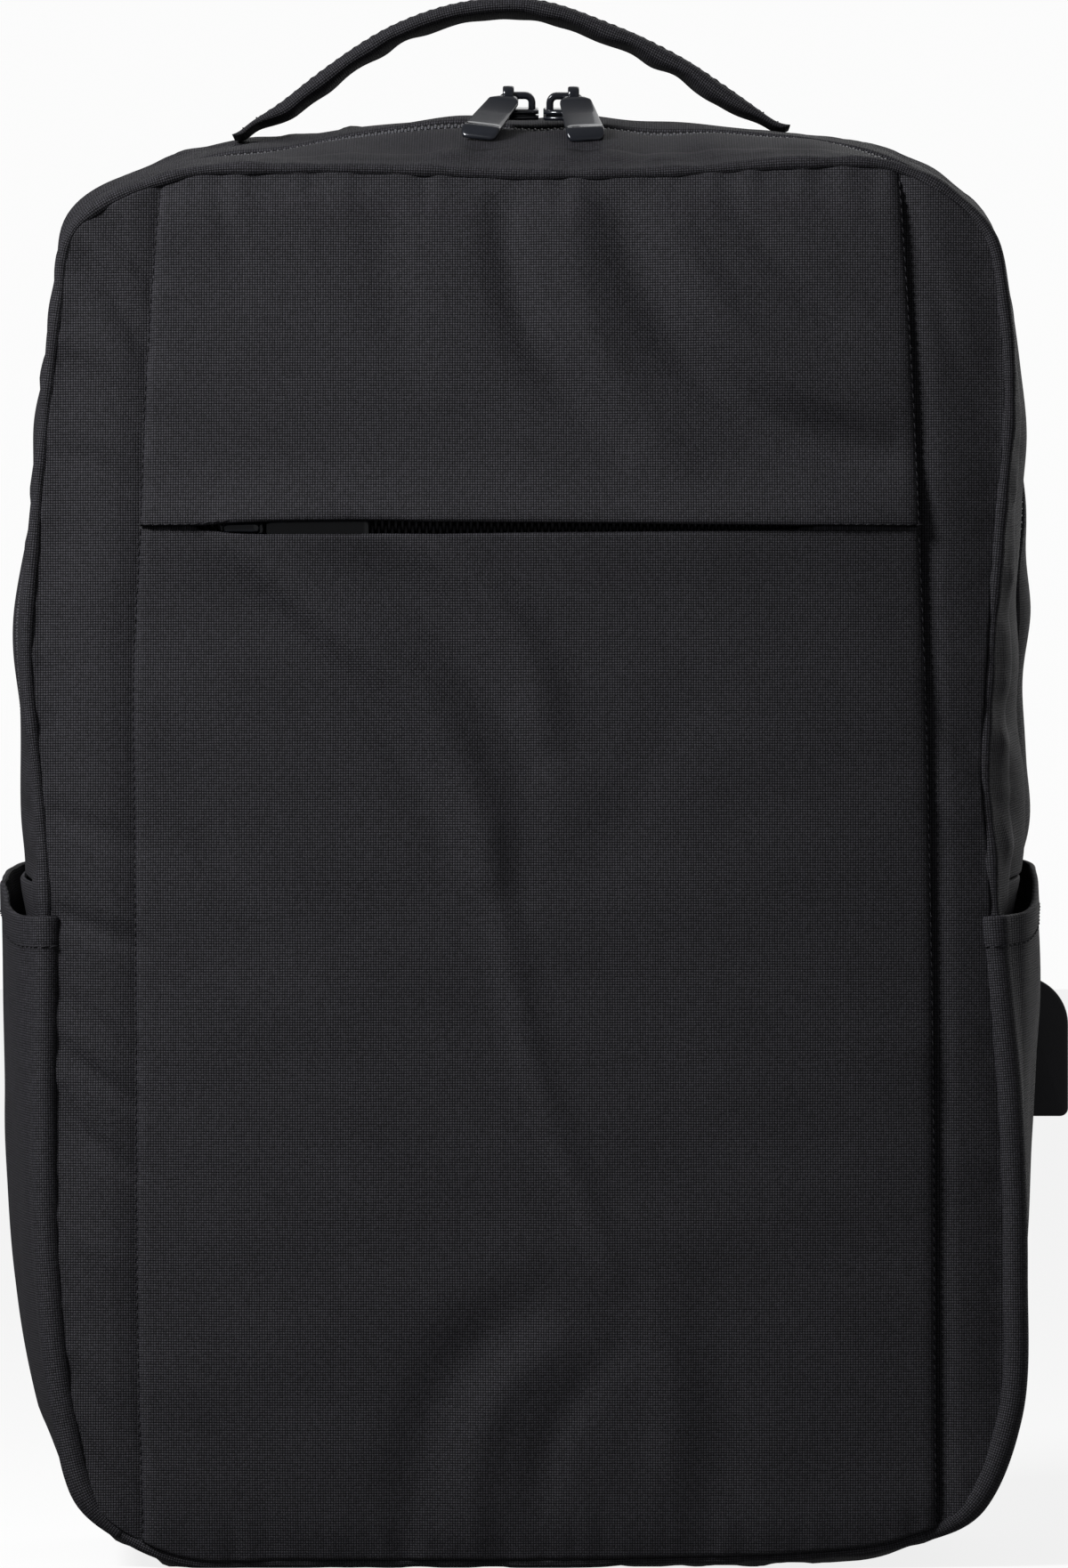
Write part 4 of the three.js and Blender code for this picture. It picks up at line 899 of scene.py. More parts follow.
def along(points: Array, step: float, *others: Array) -> list[Array]:
    """Points at even steps along a line, with other values carried along.

    Args:
        points: the line.
        step: distance between points, in metres.
        others: values at the line's points.

    Returns:
        The new points, their directions, and the other values there.
    """
    run = np.concatenate([[0], np.cumsum(np.linalg.norm(np.diff(points, axis=0), axis=1))])
    count = max(int(run[-1] / step), 2)
    at = np.linspace(0, run[-1], count + 1)
    read = [np.stack([np.interp(at, run, values[:, k]) for k in range(3)], axis=1) for values in (points, *others)]
    way = unit(np.gradient(read[0], axis=0))
    return [read[0], way, *read[1:]]


def joined_modifiers(obj: Object) -> Object:
    """The object with its modifiers applied to its mesh."""
    graph = bpy.context.evaluated_depsgraph_get()
    mesh = bpy.data.meshes.new_from_object(obj.evaluated_get(graph))
    old = obj.data
    obj.modifiers.clear()
    obj.data = mesh
    bpy.data.meshes.remove(old)
    return obj


def bevelled(obj: Object, width: float, segments: int = 3) -> Object:
    """The object with its sharp edges rounded."""
    bevel = obj.modifiers.new("round", "BEVEL")
    bevel.width, bevel.segments, bevel.limit_method = width, segments, "ANGLE"
    bevel.angle_limit = math.radians(28)
    bevel.harden_normals = False
    return joined_modifiers(obj)


def cut(obj: Object, cutters: Sequence[Object]) -> Object:
    """The object with other solids cut out of it; the others are deleted."""
    for cutter in cutters:
        boolean = obj.modifiers.new("cut", "BOOLEAN")
        boolean.operation, boolean.object, boolean.solver = "DIFFERENCE", cutter, "EXACT"
        joined_modifiers(obj)
        bpy.data.objects.remove(cutter)
    return obj


def plate(name: str, outline: Sequence[tuple[float, float]], low: float, high: float) -> Object:
    """A plate of an outline in X and Z, standing between two depths in Y."""
    flat = np.array(outline)
    rings = np.stack([xyz(flat[:, 0], np.full(len(flat), y), flat[:, 1]) for y in (low, high)])
    return Ringed(name, rings).build()


@dataclass
class Stitches:
    """Rows of short raised stitches.

    Attributes:
        pitch: distance from stitch to stitch.
        radius: half the thread's thickness.
        fill: share of the pitch that the thread shows.
        tilt: how far each stitch leans, in radians.
    """

    pitch: float = 0.0031
    radius: float = 0.00022
    fill: float = 0.74
    tilt: float = 0.10

    def row(self, draft: Draft, line: Array, normals: Array) -> None:
        """Adds a row of stitches.

        Args:
            draft: where they go.
            line: the line that they follow.
            normals: the cloth's directions along it.
        """
        points, ways, ups = along(line, self.pitch, normals)
        ups = unit(ups - ways * np.sum(ups * ways, axis=1, keepdims=True))
        sides = np.cross(ups, ways)
        ring = oval(6)
        stations = np.array([[-1.0, 0.15], [-0.8, 0.75], [0.0, 1.1], [0.8, 0.75], [1.0, 0.15]])
        for i, (p, t, n, s) in enumerate(zip(points, ways, ups, sides)):
            lean = t * math.cos(self.tilt) + s * math.sin(self.tilt)
            side = np.cross(n, lean)
            middle = p + lean * stations[:, :1] * self.pitch * self.fill / 2
            middle = middle + n * self.radius * (0.2 + 0.7 * (1 - stations[:, :1] ** 2))
            girth = stations[:, 1] * self.radius * 2
            rings = swept(middle, same(side, 5), same(n, 5), girth, girth, ring)
            Ringed("stitch", rings).draft(draft)


# Shader maths


class Graph:
    """A material's nodes, made in one way."""

    def __init__(self, name: str) -> None:
        """Starts a material with its main shader."""
        self.material = bpy.data.materials.new(name)
        self.material.use_nodes = True
        self.tree = self.material.node_tree
        self.shader = self.tree.nodes["Principled BSDF"]

    def node(self, kind: str, settings: dict[str, Any] | None = None, **values: Any) -> bpy.types.Node:
        """Makes a node.

        Args:
            kind: its type, such as ShaderNodeTexNoise.
            settings: properties that are set first.
            values: the values or links of its sockets, by name or by n and a number.

        Returns:
            The node.
        """
        node = self.tree.nodes.new(kind)
        for key, value in (settings or {}).items():
            setattr(node, key, value)
        for key, value in values.items():
            numbered = key.startswith("n") and key[1:].isdigit()
            socket = node.inputs[int(key[1:])] if numbered else node.inputs[key.replace("_", " ")]
            self.feed(socket, value)
        return node

    def feed(self, socket: bpy.types.NodeSocket, value: Any) -> None:
        """Links or sets a socket."""
        if isinstance(value, Value):
            self.tree.links.new(value.socket, socket)
        elif isinstance(value, bpy.types.NodeSocket):
            self.tree.links.new(value, socket)
        else:
            socket.default_value = value

    def mix(self, factor: "Value", low: Any, high: Any) -> bpy.types.NodeSocket:
        """A mix of two colours."""
        settings = {"data_type": "RGBA", "clamp_factor": True}
        return self.node("ShaderNodeMix", settings, n0=factor, n6=low, n7=high).outputs[2]

    def place(self) -> tuple["Value", "Value"]:
        """The place on the cloth, in metres across and along."""
        uv = self.node("ShaderNodeUVMap", {"uv_map": "cloth"}).outputs[0]
        split = self.node("ShaderNodeSeparateXYZ", None, n0=uv)
        return Value(self, split.outputs[0]), Value(self, split.outputs[1])

    def noise(self, size: float, detail: float = 2.0, where: Any = None) -> "Value":
        """Soft noise from 0 to 1 whose lumps are about size across, in metres."""
        source = where or self.node("ShaderNodeTexCoord").outputs["Object"]
        node = self.node("ShaderNodeTexNoise", None, Vector=source, Scale=1 / size, Detail=detail)
        return Value(self, node.outputs[0])

    def white(self, value: "Value") -> "Value":
        """A random value from 0 to 1 for each whole number."""
        node = self.node("ShaderNodeTexWhiteNoise", {"noise_dimensions": "1D"}, W=value)
        return Value(self, node.outputs[0])

    def finish(self, height: "Value | None" = None, relief: float = 0.0, **sockets: Any) -> Material:
        """Feeds the shader and returns the material.

        Args:
            height: relief as a value from 0 to 1.
            relief: its depth, in metres.
            sockets: values or links of the shader's sockets.

        Returns:
            The material.
        """
        for key, value in sockets.items():
            self.feed(self.shader.inputs[key.replace("_", " ")], value)
        if height is not None:
            bump = self.node("ShaderNodeBump", None, Height=height, Distance=relief, Strength=1.0)
            self.feed(self.shader.inputs["Normal"], bump.outputs[0])
        return self.material


class Value:
    """A number that varies over a surface, with arithmetic."""

    def __init__(self, graph: Graph, socket: bpy.types.NodeSocket) -> None:
        """Wraps a socket."""
        self.graph, self.socket = graph, socket

    def _math(self, operation: str, *others: Any, first: Any = None) -> "Value":
        """Adds a Math node."""
        values = [self if first is None else first, *others]
        inputs = {f"n{k}": value for k, value in enumerate(values)}
        node = self.graph.node("ShaderNodeMath", {"operation": operation}, **inputs)
        return Value(self.graph, node.outputs[0])

    def __add__(self, other: Any) -> "Value":
        """Sum."""
        return self._math("ADD", other)

    __radd__ = __add__

    def __sub__(self, other: Any) -> "Value":
        """Difference."""
        return self._math("SUBTRACT", other)

    def __rsub__(self, other: Any) -> "Value":
        """Difference the other way round."""
        return self._math("SUBTRACT", self, first=other)

    def __mul__(self, other: Any) -> "Value":
        """Product."""
        return self._math("MULTIPLY", other)

    __rmul__ = __mul__

    def __truediv__(self, other: Any) -> "Value":
        """Quotient."""
        return self._math("DIVIDE", other)

    def __pow__(self, other: Any) -> "Value":
        """Power."""
        return self._math("POWER", other)

    def __abs__(self) -> "Value":
        """Size without sign."""
        return self._math("ABSOLUTE")

    def sine(self) -> "Value":
        """Sine of an angle in radians."""
        return self._math("SINE")

    def floor(self) -> "Value":
        """The whole number below."""
        return self._math("FLOOR")

    def fraction(self) -> "Value":
        """What is over the whole number below."""
        return self._math("FRACT")

    def least(self, other: Any) -> "Value":
        """The smaller of two."""
        return self._math("MINIMUM", other)

    def most(self, other: Any) -> "Value":
        """The greater of two."""
        return self._math("MAXIMUM", other)


# Finishes

Colour = tuple[float, float, float]


def rgba(colour: Colour, times: float = 1.0) -> tuple[float, float, float, float]:
    """A colour with full cover, made lighter or darker."""
    return (*(min(c * times, 1.0) for c in colour), 1.0)


@dataclass(frozen=True)
class WovenCloth:
    """Plain woven polyester: threads that pass over and under each other, with painted shade between the threads and
    painted highlights on their crowns.

    Attributes:
        name: name of the material.
        slot: not used.
        colour: colour of the threads.
        pitch: distance from thread to thread.
        relief: height of the threads.
        rough: roughness.
        spread: how much the threads differ in brightness.
    """

    name: str
    slot: str
    colour: Colour
    pitch: float = 0.00075
    relief: float = 0.00022
    rough: float = 0.62
    spread: float = 0.6

    def build(self) -> Material:
        """Makes the material."""
        g = Graph(self.name)
        u, v = g.place()
        sway = (g.noise(0.02) - 0.5) * 0.35
        a, b = u / self.pitch + sway, v / self.pitch + sway
        column, row = a.floor(), b.floor()
        over = ((column + row) * 0.5).fraction() * 2
        warp, weft = abs((a * math.pi).sine()), abs((b * math.pi).sine())
        lying = warp ** 0.7 * (weft * 0.5 + 0.5)
        crossing = weft ** 0.7 * (warp * 0.5 + 0.5)
        height = lying * over + crossing * (1 - over)
        thread = g.white(column + 0.37) * over + g.white(row + 71.3) * (1 - over)
        cell = g.white(column * 57.0 + row * 131.0)
        patch = g.noise(0.05, 3.0)
        # Colour tone: random from thread to thread and cell to cell, times the thread height, so the gaps get
        # painted shade and the crowns painted highlights; patches of random tone on top.
        tone_and_painted_shading = (height ** 1.5) * (thread * 0.12 + cell * self.spread + (0.94 - self.spread * 0.5))
        tone_and_painted_shading = tone_and_painted_shading * (patch * 0.24 + 0.88)
        colour = g.mix(tone_and_painted_shading.least(1.0), rgba(self.colour, 0.12), rgba(self.colour, 2.6))
        return g.finish(height, self.relief, Base_Color=colour, Roughness=self.rough + (0.5 - height) * 0.12,
                        Specular_IOR_Level=0.2)


@dataclass(frozen=True)
class RibbedTape:
    """Narrow woven tape with ribs along or across it, painted darker in the grooves as painted shade and lighter on
    the ribs as painted highlights.
    """

    name: str
    slot: str
    colour: Colour
    pitch: float = 0.0009
    relief: float = 0.00018
    slant: float = 0.8

    def build(self) -> Material:
        """Makes the material."""
        g = Graph(self.name)
        u, v = g.place()
        rib = abs((v / self.pitch * math.pi).sine())
        zig = abs(((u / (self.pitch * 4)).fraction() - 0.5)) * 4
        twill = abs(((v / self.pitch + zig * self.slant) * math.pi).sine())
        height = rib * 0.35 + twill * 0.65
        fleck = g.white((u / self.pitch).floor() * 19.0 + (v / self.pitch).floor() * 83.0)
        # Colour: darker in the grooves (painted shade), lighter on the ribs (painted highlight), with random flecks
        # of tone.
        colour = g.mix((height * 0.8 + fleck * 0.3).least(1.0), rgba(self.colour, 0.35), rgba(self.colour, 1.9))
        return g.finish(height, self.relief, Base_Color=colour, Roughness=0.72 - height * 0.1,
                        Specular_IOR_Level=0.18)


@dataclass(frozen=True)
class SpacerMesh:
    """Padded mesh cloth with rows of small holes, the holes and the gaps of its fine weave painted dark as painted
    shade.
    """

    name: str
    slot: str
    colour: Colour
    pitch: float = 0.0026
    relief: float = 0.0006

    def build(self) -> Material:
        """Makes the material."""
        g = Graph(self.name)
        u, v = g.place()
        b = v / self.pitch
        a = u / self.pitch + (b.floor() * 0.5).fraction()
        x, y = a.fraction() - 0.5, b.fraction() - 0.5
        away = (x * x + y * y) ** 0.5
        hole = ((0.36 - away) * 9.0).most(0.0).least(1.0)
        fine = abs((u / 0.0006 * math.pi).sine()) * abs((v / 0.0006 * math.pi).sine())
        height = (1 - hole) * (fine * 0.2 + 0.8)
        # Colour tone: the holes and the gaps of the fine weave painted dark as painted shade, times random tone.
        tone_and_painted_shading = height * (g.noise(0.03) * 0.3 + 0.75)
        colour = g.mix(tone_and_painted_shading.least(1.0), rgba(self.colour, 0.18), rgba(self.colour, 1.5))
        return g.finish(height, self.relief, Base_Color=colour, Roughness=0.95 - height * 0.12,
                        Specular_IOR_Level=0.15)


@dataclass(frozen=True)
class GlossMetal:
    """Cast metal with a glossy dark lacquer, rubbed a little and faintly smudged."""

    name: str
    slot: str
    colour: Colour
    rough: float = 0.16

    def build(self) -> Material:
        """Makes the material."""
        g = Graph(self.name)
        smudge = g.noise(0.006, 4.0)
        wave = g.noise(0.012, 1.0)
        colour = g.mix(smudge, rgba(self.colour, 0.8), rgba(self.colour, 1.25))
        return g.finish(wave, 0.00008, Base_Color=colour, Metallic=0.35, Roughness=self.rough + smudge * 0.08,
                        Specular_IOR_Level=0.5, Coat_Weight=0.6, Coat_Roughness=0.05)


@dataclass(frozen=True)
class SatinPlastic:
    """Moulded plastic with a fine even grain."""

    name: str
    slot: str
    colour: Colour
    rough: float = 0.46
    grain: float = 0.0005

    def build(self) -> Material:
        """Makes the material."""
        g = Graph(self.name)
        grain = g.noise(self.grain, 2.0)
        worn = g.noise(0.02, 3.0)
        colour = g.mix(worn, rgba(self.colour, 0.85), rgba(self.colour, 1.2))
        return g.finish(grain, 0.00004, Base_Color=colour, Roughness=self.rough + worn * 0.12,
                        Specular_IOR_Level=0.25)


@dataclass(frozen=True)
class PlainFloor:
    """Pale seamless studio paper."""

    name: str = "studio_paper"

    def build(self) -> Material:
        """Makes the material."""
        g = Graph(self.name)
        tone = g.noise(0.6, 2.0)
        colour = g.mix(tone, (0.15, 0.15, 0.15, 1), (0.17, 0.17, 0.17, 1))
        return g.finish(Base_Color=colour, Roughness=0.9, Specular_IOR_Level=0.0,
                        Emission_Color=(1.0, 1.0, 1.0, 1.0), Emission_Strength=0.84)


BLACK = (0.0165, 0.0160, 0.0192)


@dataclass
class Wardrobe:
    """All the finishes, each made once."""

    woven: WovenCloth = WovenCloth("woven_polyester", "woven_cloth", BLACK)
    rolled: WovenCloth = WovenCloth("seam_binding", "edge_binding", (0.0150, 0.0146, 0.0175), pitch=0.0006)
    tape: RibbedTape = RibbedTape("zip_tape_twill", "zip_tape", (0.0085, 0.0085, 0.0100))
    coil: SatinPlastic = SatinPlastic("nylon_coil", "zip_tape", (0.075, 0.075, 0.085), rough=0.24)
    metal: GlossMetal = GlossMetal("lacquered_metal", "black_gloss_metal", (0.012, 0.014, 0.020))
    plastic: SatinPlastic = SatinPlastic("satin_moulding", "matte_black_plastic", (0.036, 0.036, 0.040))
    mesh: SpacerMesh = SpacerMesh("spacer_mesh", "air_mesh", (0.021, 0.021, 0.024))
    webbing: RibbedTape = RibbedTape("strap_webbing_rib", "webbing", (0.018, 0.018, 0.021), pitch=0.0016,
                                     relief=0.0003)
    thread: SatinPlastic = SatinPlastic("sewing_thread", "woven_cloth", (0.0125, 0.012, 0.015), rough=0.6,
                                        grain=0.0003)

    def __post_init__(self) -> None:
        """Starts with nothing made."""
        self.made: dict[str, Material] = {}

    def dress(self, obj: Object, finish: Any) -> Object:
        """Gives a piece a finish."""
        if finish.name not in self.made:
            self.made[finish.name] = finish.build()
        obj.data.materials.clear()
        obj.data.materials.append(self.made[finish.name])
        return obj


WARDROBE = Wardrobe()


def place_piece(obj: Object, finish: Any, nodes: Sequence[str] = (), body: str = "bag") -> Object:
    """Dresses a piece, puts it on its body and lets it stand for its solids.

    Args:
        obj: the piece.
        finish: its finish.
        nodes: the solids that it stands for.
        body: the body that it rides on.

    Returns:
        The piece.
    """
    WARDROBE.dress(obj, finish)
    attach(obj, body)
    if nodes:
        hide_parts(*nodes)
    log.info("%s: %d faces", obj.name, len(obj.data.polygons))
    return obj


def place_cloth(sheet: ClothSheet, finish: Any, nodes: Sequence[str] = ()) -> Object:
    """Builds and places a sheet of sewn cloth, and logs its cut size."""
    obj = place_piece(sheet.build(), finish, nodes)
    width, length, area = sheet.flat_size()
    log.info("%s: cut %.0f by %.0f mm", obj.name, width * 1000, length * 1000)
    return obj


# Front of the bag

Line = Callable[[Array], tuple[Array, Array]]


class FoldedEdge(NamedTuple):
    """How the raised middle meets the strip beside it: its drop as a share of its rise, the rest in metres."""

    drop: float
    reach: float
    dip: float
    bulge: float


FOLDED_EDGES = {
    Side.LEFT: FoldedEdge(drop=0.35, reach=0.0013, dip=0.0006, bulge=0.0010),
    Side.RIGHT: FoldedEdge(drop=0.30, reach=0.0016, dip=0.0010, bulge=0.0014),
}
SEAM_DRAW = {Level.UPPER: 0.9, Level.LOWER: 0.35}
PANEL_ROWS = {Level.UPPER: 66, Level.LOWER: 150}


@dataclass
class FrontCloth:
    """The front: side strips, the raised middle above and below the slot, and their stitching.

    Attributes:
        slot_height: height of the slot.
        slot_open: how far the slot gapes at most.
        lip_roll: how far the cloth rolls out over the slot.
        lip_reach: how far up that roll reaches.
        tuck: how far the cloth runs under the rolled seam.
        underlap: how far the strips run under the middle.
        edge_reach: how far in from the seam the middle is drawn down.
        pucker_reach: how far in the seam puckers it.
        end_lift: where a fold's rise begins, as a share of its length.
        step: distance over which slopes are read.
    """

    bag: BagSizes = BAG
    loop: SeamLoop = field(default_factory=lambda: LOOP)
    slot_height: float = 0.3084
    slot_open: float = 0.004
    lip_roll: float = 0.0038
    lip_reach: float = 0.013
    tuck: float = 0.0012
    underlap: float = 0.007
    edge_reach: float = 0.006
    pucker_reach: float = 0.012
    end_lift: float = 0.06
    step: float = 0.0005
    ripples: Ripples = Ripples(seed=3, longest=0.05, shortest=0.02, lift=0.00035)
    seam_puckers: Ripples = Ripples(seed=12, longest=0.015, shortest=0.006, lift=0.0004)

    def __post_init__(self) -> None:
        """Reads the tables."""
        self.crease_left = curve_through(CREASES, "z", "left")
        self.crease_right = curve_through(CREASES, "z", "right")
        self.slot_curve = curve_through(SLOT, "x", "open")

    def relief(self, x: Array, z: Array) -> Array:
        """Forward swell and folds at places on the front."""
        b = self.bag
        across = np.maximum(1 - np.abs(x / b.front_half) ** 3.5, 0)
        upward = np.maximum(1 - np.abs(2 * z / b.front_top - 1) ** 4, 0)
        folds = sum(row.lift * MM * self.near(row, x, z) for row in FRONT_FOLDS)
        room = np.minimum(1, 9 * across * upward)
        return b.crown * across * upward + (folds + self.ripples.at(x, z)) * room

    def near(self, row: Fold, x: Array, z: Array) -> Array:
        """How near places are to a fold: one on its line, less beside it and towards its ends."""
        b = self.bag
        knots = np.array(row.path) * (b.front_half, b.front_top)
        run = np.concatenate([[0], np.cumsum(np.linalg.norm(np.diff(knots, axis=0), axis=1))])
        at = np.linspace(0, run[-1], 3 * len(knots))
        line = np.stack([np.interp(at, run, knots[:, k]) for k in (0, 1)], axis=1)
        line = softened(line, 2)
        best, share = np.full(np.broadcast(x, z).shape, np.inf), np.zeros(np.broadcast(x, z).shape)
        for i, (start, end) in enumerate(zip(line[:-1], line[1:])):
            way = end - start
            u = np.clip(((x - start[0]) * way[0] + (z - start[1]) * way[1]) / way.dot(way), 0, 1)
            away = np.hypot(x - start[0] - way[0] * u, z - start[1] - way[1] * u)
            nearer = away < best
            best, share = np.where(nearer, away, best), np.where(nearer, (i + u) / (len(line) - 1), share)
        ends = self.end_lift + (1 - 2 * self.end_lift) * share
        return bell(best / (row.wide * MM)) * np.sqrt(np.maximum(np.sin(math.pi * ends), 0))

    def strip_y(self, x: Array, z: Array) -> Array:
        """Plane of the side strips."""
        return self.bag.front_y - self.bag.cloth / 2 - self.relief(x, z)

    def panel_y(self, x: Array, z: Array) -> Array:
        """Plane of the raised middle, rolled out at the slot."""
        off = z - self.slot_height
        share = np.where(off > 0, 1.0, 0.35)
        roll = self.lip_roll * share * bell(off / self.lip_reach)
        roll = roll * bell((x / self.bag.front_half) ** 4 * 1.6)
        return self.strip_y(x, z) - self.bag.proud - roll

    @staticmethod
    def facing(surface: Callable[[Array, Array], Array], x: Array, z: Array, way: int = -1) -> Array:
        """Directions of a surface that stands over X and Z.

        Args:
            surface: its Y at a place.
            x: places across.
            z: places up.
            way: 1 where it faces the back, -1 where it faces the front.

        Returns:
            The directions.
        """
        step = FrontCloth.step
        slope_x = (surface(x + step, z) - surface(x - step, z)) / (2 * step)
        slope_z = (surface(x, z + step) - surface(x, z - step)) / (2 * step)
        return unit(xyz(slope_x, -np.ones_like(slope_x), slope_z)) * -way

    def crease_x(self, side: Side, z: Array) -> Array:
        """Where the middle is folded at a height."""
        share = np.asarray(z) / self.bag.front_top
        curve = self.crease_left if side is Side.LEFT else self.crease_right
        return side.value * curve(share) * self.bag.front_half

    def gape(self, x: Array) -> Array:
        """Half the height of the slot at a place."""
        open_ = self.slot_open / 2 * self.slot_curve(np.asarray(x) / self.bag.front_half)
        return np.maximum(open_, 0.6 * self.bag.gap)

    def seam(self, start: float, end: float, inset: float) -> Line:
        """A stretch of the seam, drawn in by the inset, or out where that is below nought."""

        def run(u: Array) -> tuple[Array, Array]:
            """Places along the stretch."""
            rim = self.loop.at(start + (end - start) * np.asarray(u, float))
            return rim.x - rim.out_x * inset, rim.z - rim.out_z * inset

        return run

    @staticmethod
    def patch(left: Line, right: Line, base: Line, top: Line, across: Array, upward: Array) -> tuple[Array, Array]:
        """A grid between four boundary lines.

        Args:
            left: the left line, upwards.
            right: the right line, upwards.
            base: the lower line, to the right.
            top: the upper line, to the right.
            across: shares across.
            upward: shares upwards.

        Returns:
            X and Z of the grid.
        """
        u, v = np.meshgrid(across, upward)
        found = []
        for k in (0, 1):
            ruled = (1 - v) * base(u)[k] + v * top(u)[k] + (1 - u) * left(v)[k] + u * right(v)[k]
            ends = np.array([0.0, 1.0])
            (b0, b1), (t0, t1) = base(ends)[k], top(ends)[k]
            found.append(ruled - (1 - v) * ((1 - u) * b0 + u * b1) - v * ((1 - u) * t0 + u * t1))
        return found[0], found[1]

    def panel(self, level: Level) -> ClothSheet:
        """The raised middle above or below the slot."""
        b = self.bag
        upper = level is Level.UPPER

        def seat(x: float) -> tuple[float, float]:
            """The seam's place over or under a place across the bag."""
            share = self.loop.on_top(x) if upper else self.loop.on_base(x)
            px, pz = self.seam(share, share, -self.tuck)(np.array(0.0))
            return float(px), float(pz)

        corners = [seat(float(self.crease_x(side, b.front_top if upper else 0.0))) for side in Side]
        ends = [float(self.crease_x(side, self.slot_height)) for side in Side]

        def crease(side: Side, corner: tuple[float, float], end: float) -> Line:
            """The folded edge from below upwards."""
            slot_z = self.slot_height + level.value * float(self.gape(end))
            low, high = (slot_z, corner[1]) if upper else (corner[1], slot_z)

            def run(v: Array) -> tuple[Array, Array]:
                """Places along the fold."""
                z = low + (high - low) * np.asarray(v, float)
                return self.crease_x(side, z), z

            return run

        def slot(u: Array) -> tuple[Array, Array]:
            """Places along the slot."""
            x = ends[0] + (ends[1] - ends[0]) * np.asarray(u, float)
            return x, self.slot_height + level.value * self.gape(x)

        find = self.loop.on_top if upper else self.loop.on_base
        seam = self.seam(find(corners[0][0]), find(corners[1][0]), -self.tuck)
        base, top = (slot, seam) if upper else (seam, slot)
        sides = [crease(side, corners[k], ends[k]) for k, side in enumerate(Side)]
        width, height = ends[1] - ends[0], abs(corners[0][1] - self.slot_height)
        across = spaced(150, width, 0.0014)
        upward = spaced(PANEL_ROWS[level], height, 0.0014)
        x, z = self.patch(sides[0], sides[1], base, top, across, upward)
        y = self.panel_y(x, z)
        for side, form in FOLDED_EDGES.items():
            inward = np.maximum((self.crease_x(side, z) - x) * side.value, 0)
            y = y + b.proud * form.drop * bell(inward / form.reach)
        v = upward[:, None]
        to_seam = (1 - v if upper else v) * height
        y = y + b.proud * SEAM_DRAW[level] * bell(to_seam / self.edge_reach)
        y = y + self.seam_puckers.at(x, z * 0.2) * bell(to_seam / self.pucker_reach)
        skin = xyz(x, y, z)
        name = "front_middle_upper" if upper else "front_middle_lower"
        facing = self.facing(self.panel_y, x, z)
        return ClothSheet(name, skin, b.cloth, edge=0.0014, plan=pairs(x, z), facing=facing)

    def strip_relief(self, side: Side, x: Array, z: Array) -> Array:
        """How far a strip dips under the middle and bulges beside it."""
        away = (x - self.crease_x(side, z)) * side.value
        form = FOLDED_EDGES[side]
        under = form.dip * (1 - smooth(-0.0012, 0.0025, away))
        return under - form.bulge * smooth(0.0, 0.008, away) * (1 - smooth(0.010, 0.026, away))

    def strip(self, side: Side) -> ClothSheet:
        """The flat cloth beside the raised middle."""
        b = self.bag
        low = self.loop.on_side(side, SIDES[0].z * b.front_top)
        high = self.loop.on_side(side, SIDES[-1].z * b.front_top)

        def tuck(z: Array) -> Array:
            """The hidden edge under the middle."""
            return self.crease_x(side, z) - side.value * self.underlap

        top_end = self.loop.on_top(float(tuck(b.front_top)))
        base_end = self.loop.on_base(float(tuck(0.0)))
        base_end -= round(base_end - low)
        top_x, top_z = (float(v) for v in self.seam(top_end, top_end, -self.tuck)(np.array(0.0)))
        base_x, base_z = (float(v) for v in self.seam(base_end, base_end, -self.tuck)(np.array(0.0)))

        def hidden(v: Array) -> tuple[Array, Array]:
            """Places along the hidden edge."""
            v = np.asarray(v, float)
            z = base_z + (top_z - base_z) * v
            keep = np.minimum(1, 8 * v * (1 - v))
            return (base_x + (top_x - base_x) * v) * (1 - keep) + tuck(z) * keep, z

        across = spaced(44, 0.035, 0.0012)
        upward = spaced(190, 0.38, 0.0012)
        x, z = self.patch(self.seam(low, high, -self.tuck), hidden, self.seam(low, base_end, -self.tuck),
                          self.seam(high, top_end, -self.tuck), across, upward)
        u = np.broadcast_to(across[None, :], x.shape)
        y = self.strip_y(x, z) + self.strip_relief(side, x, z)
        y = y - self.seam_puckers.at(z, x * 0.2) * bell(u / 0.22) * 0.8
        skin = xyz(x, y, z)
        name = f"front_side_{side.name.lower()}"
        facing = self.facing(self.strip_y, x, z)
        return ClothSheet(name, skin, b.cloth, edge=0.0012, plan=pairs(x, z), facing=facing)

    def build(self) -> None:
        """Builds, dresses and places the front."""
        upper, lower = self.panel(Level.UPPER), self.panel(Level.LOWER)
        place_cloth(upper, WARDROBE.woven, ["front_upper_panel"])
        place_cloth(lower, WARDROBE.woven, ["front_lower_panel"])
        for side in Side:
            place_cloth(self.strip(side), WARDROBE.woven, [f"front_strip_{side.name.lower()}"])
        self.stitch(upper, lower)

    def stitch(self, upper: ClothSheet, lower: ClothSheet) -> None:
        """Sews the folded edges down."""
        draft, stitches = Draft(), Stitches(pitch=0.0029)
        for sheet in (upper, lower):
            for from_end in (False, True):
                line, ways = sheet.line(Run.ALONG_ROWS, 0.0007, from_end)
                out = np.array([-1.0, 0, 0]) if not from_end else np.array([1.0, 0, 0])
                stitches.row(draft, line[4:-4] + out * 0.0004 + ways[4:-4] * -0.0005, unit(ways[4:-4] + out * 0.8))
        line, ways = upper.line(Run.ALONG_COLUMNS, 0.0006)
        keep = line[:, 0] < -0.6 * self.bag.front_half
        stitches.row(draft, line[keep] - ways[keep] * 0.0002, ways[keep])
        keep = line[:, 0] > 0.66 * self.bag.front_half
        stitches.row(draft, line[keep] - ways[keep] * 0.0002, ways[keep])
        place_piece(draft.finish("front_stitching"), WARDROBE.thread)


# Zips


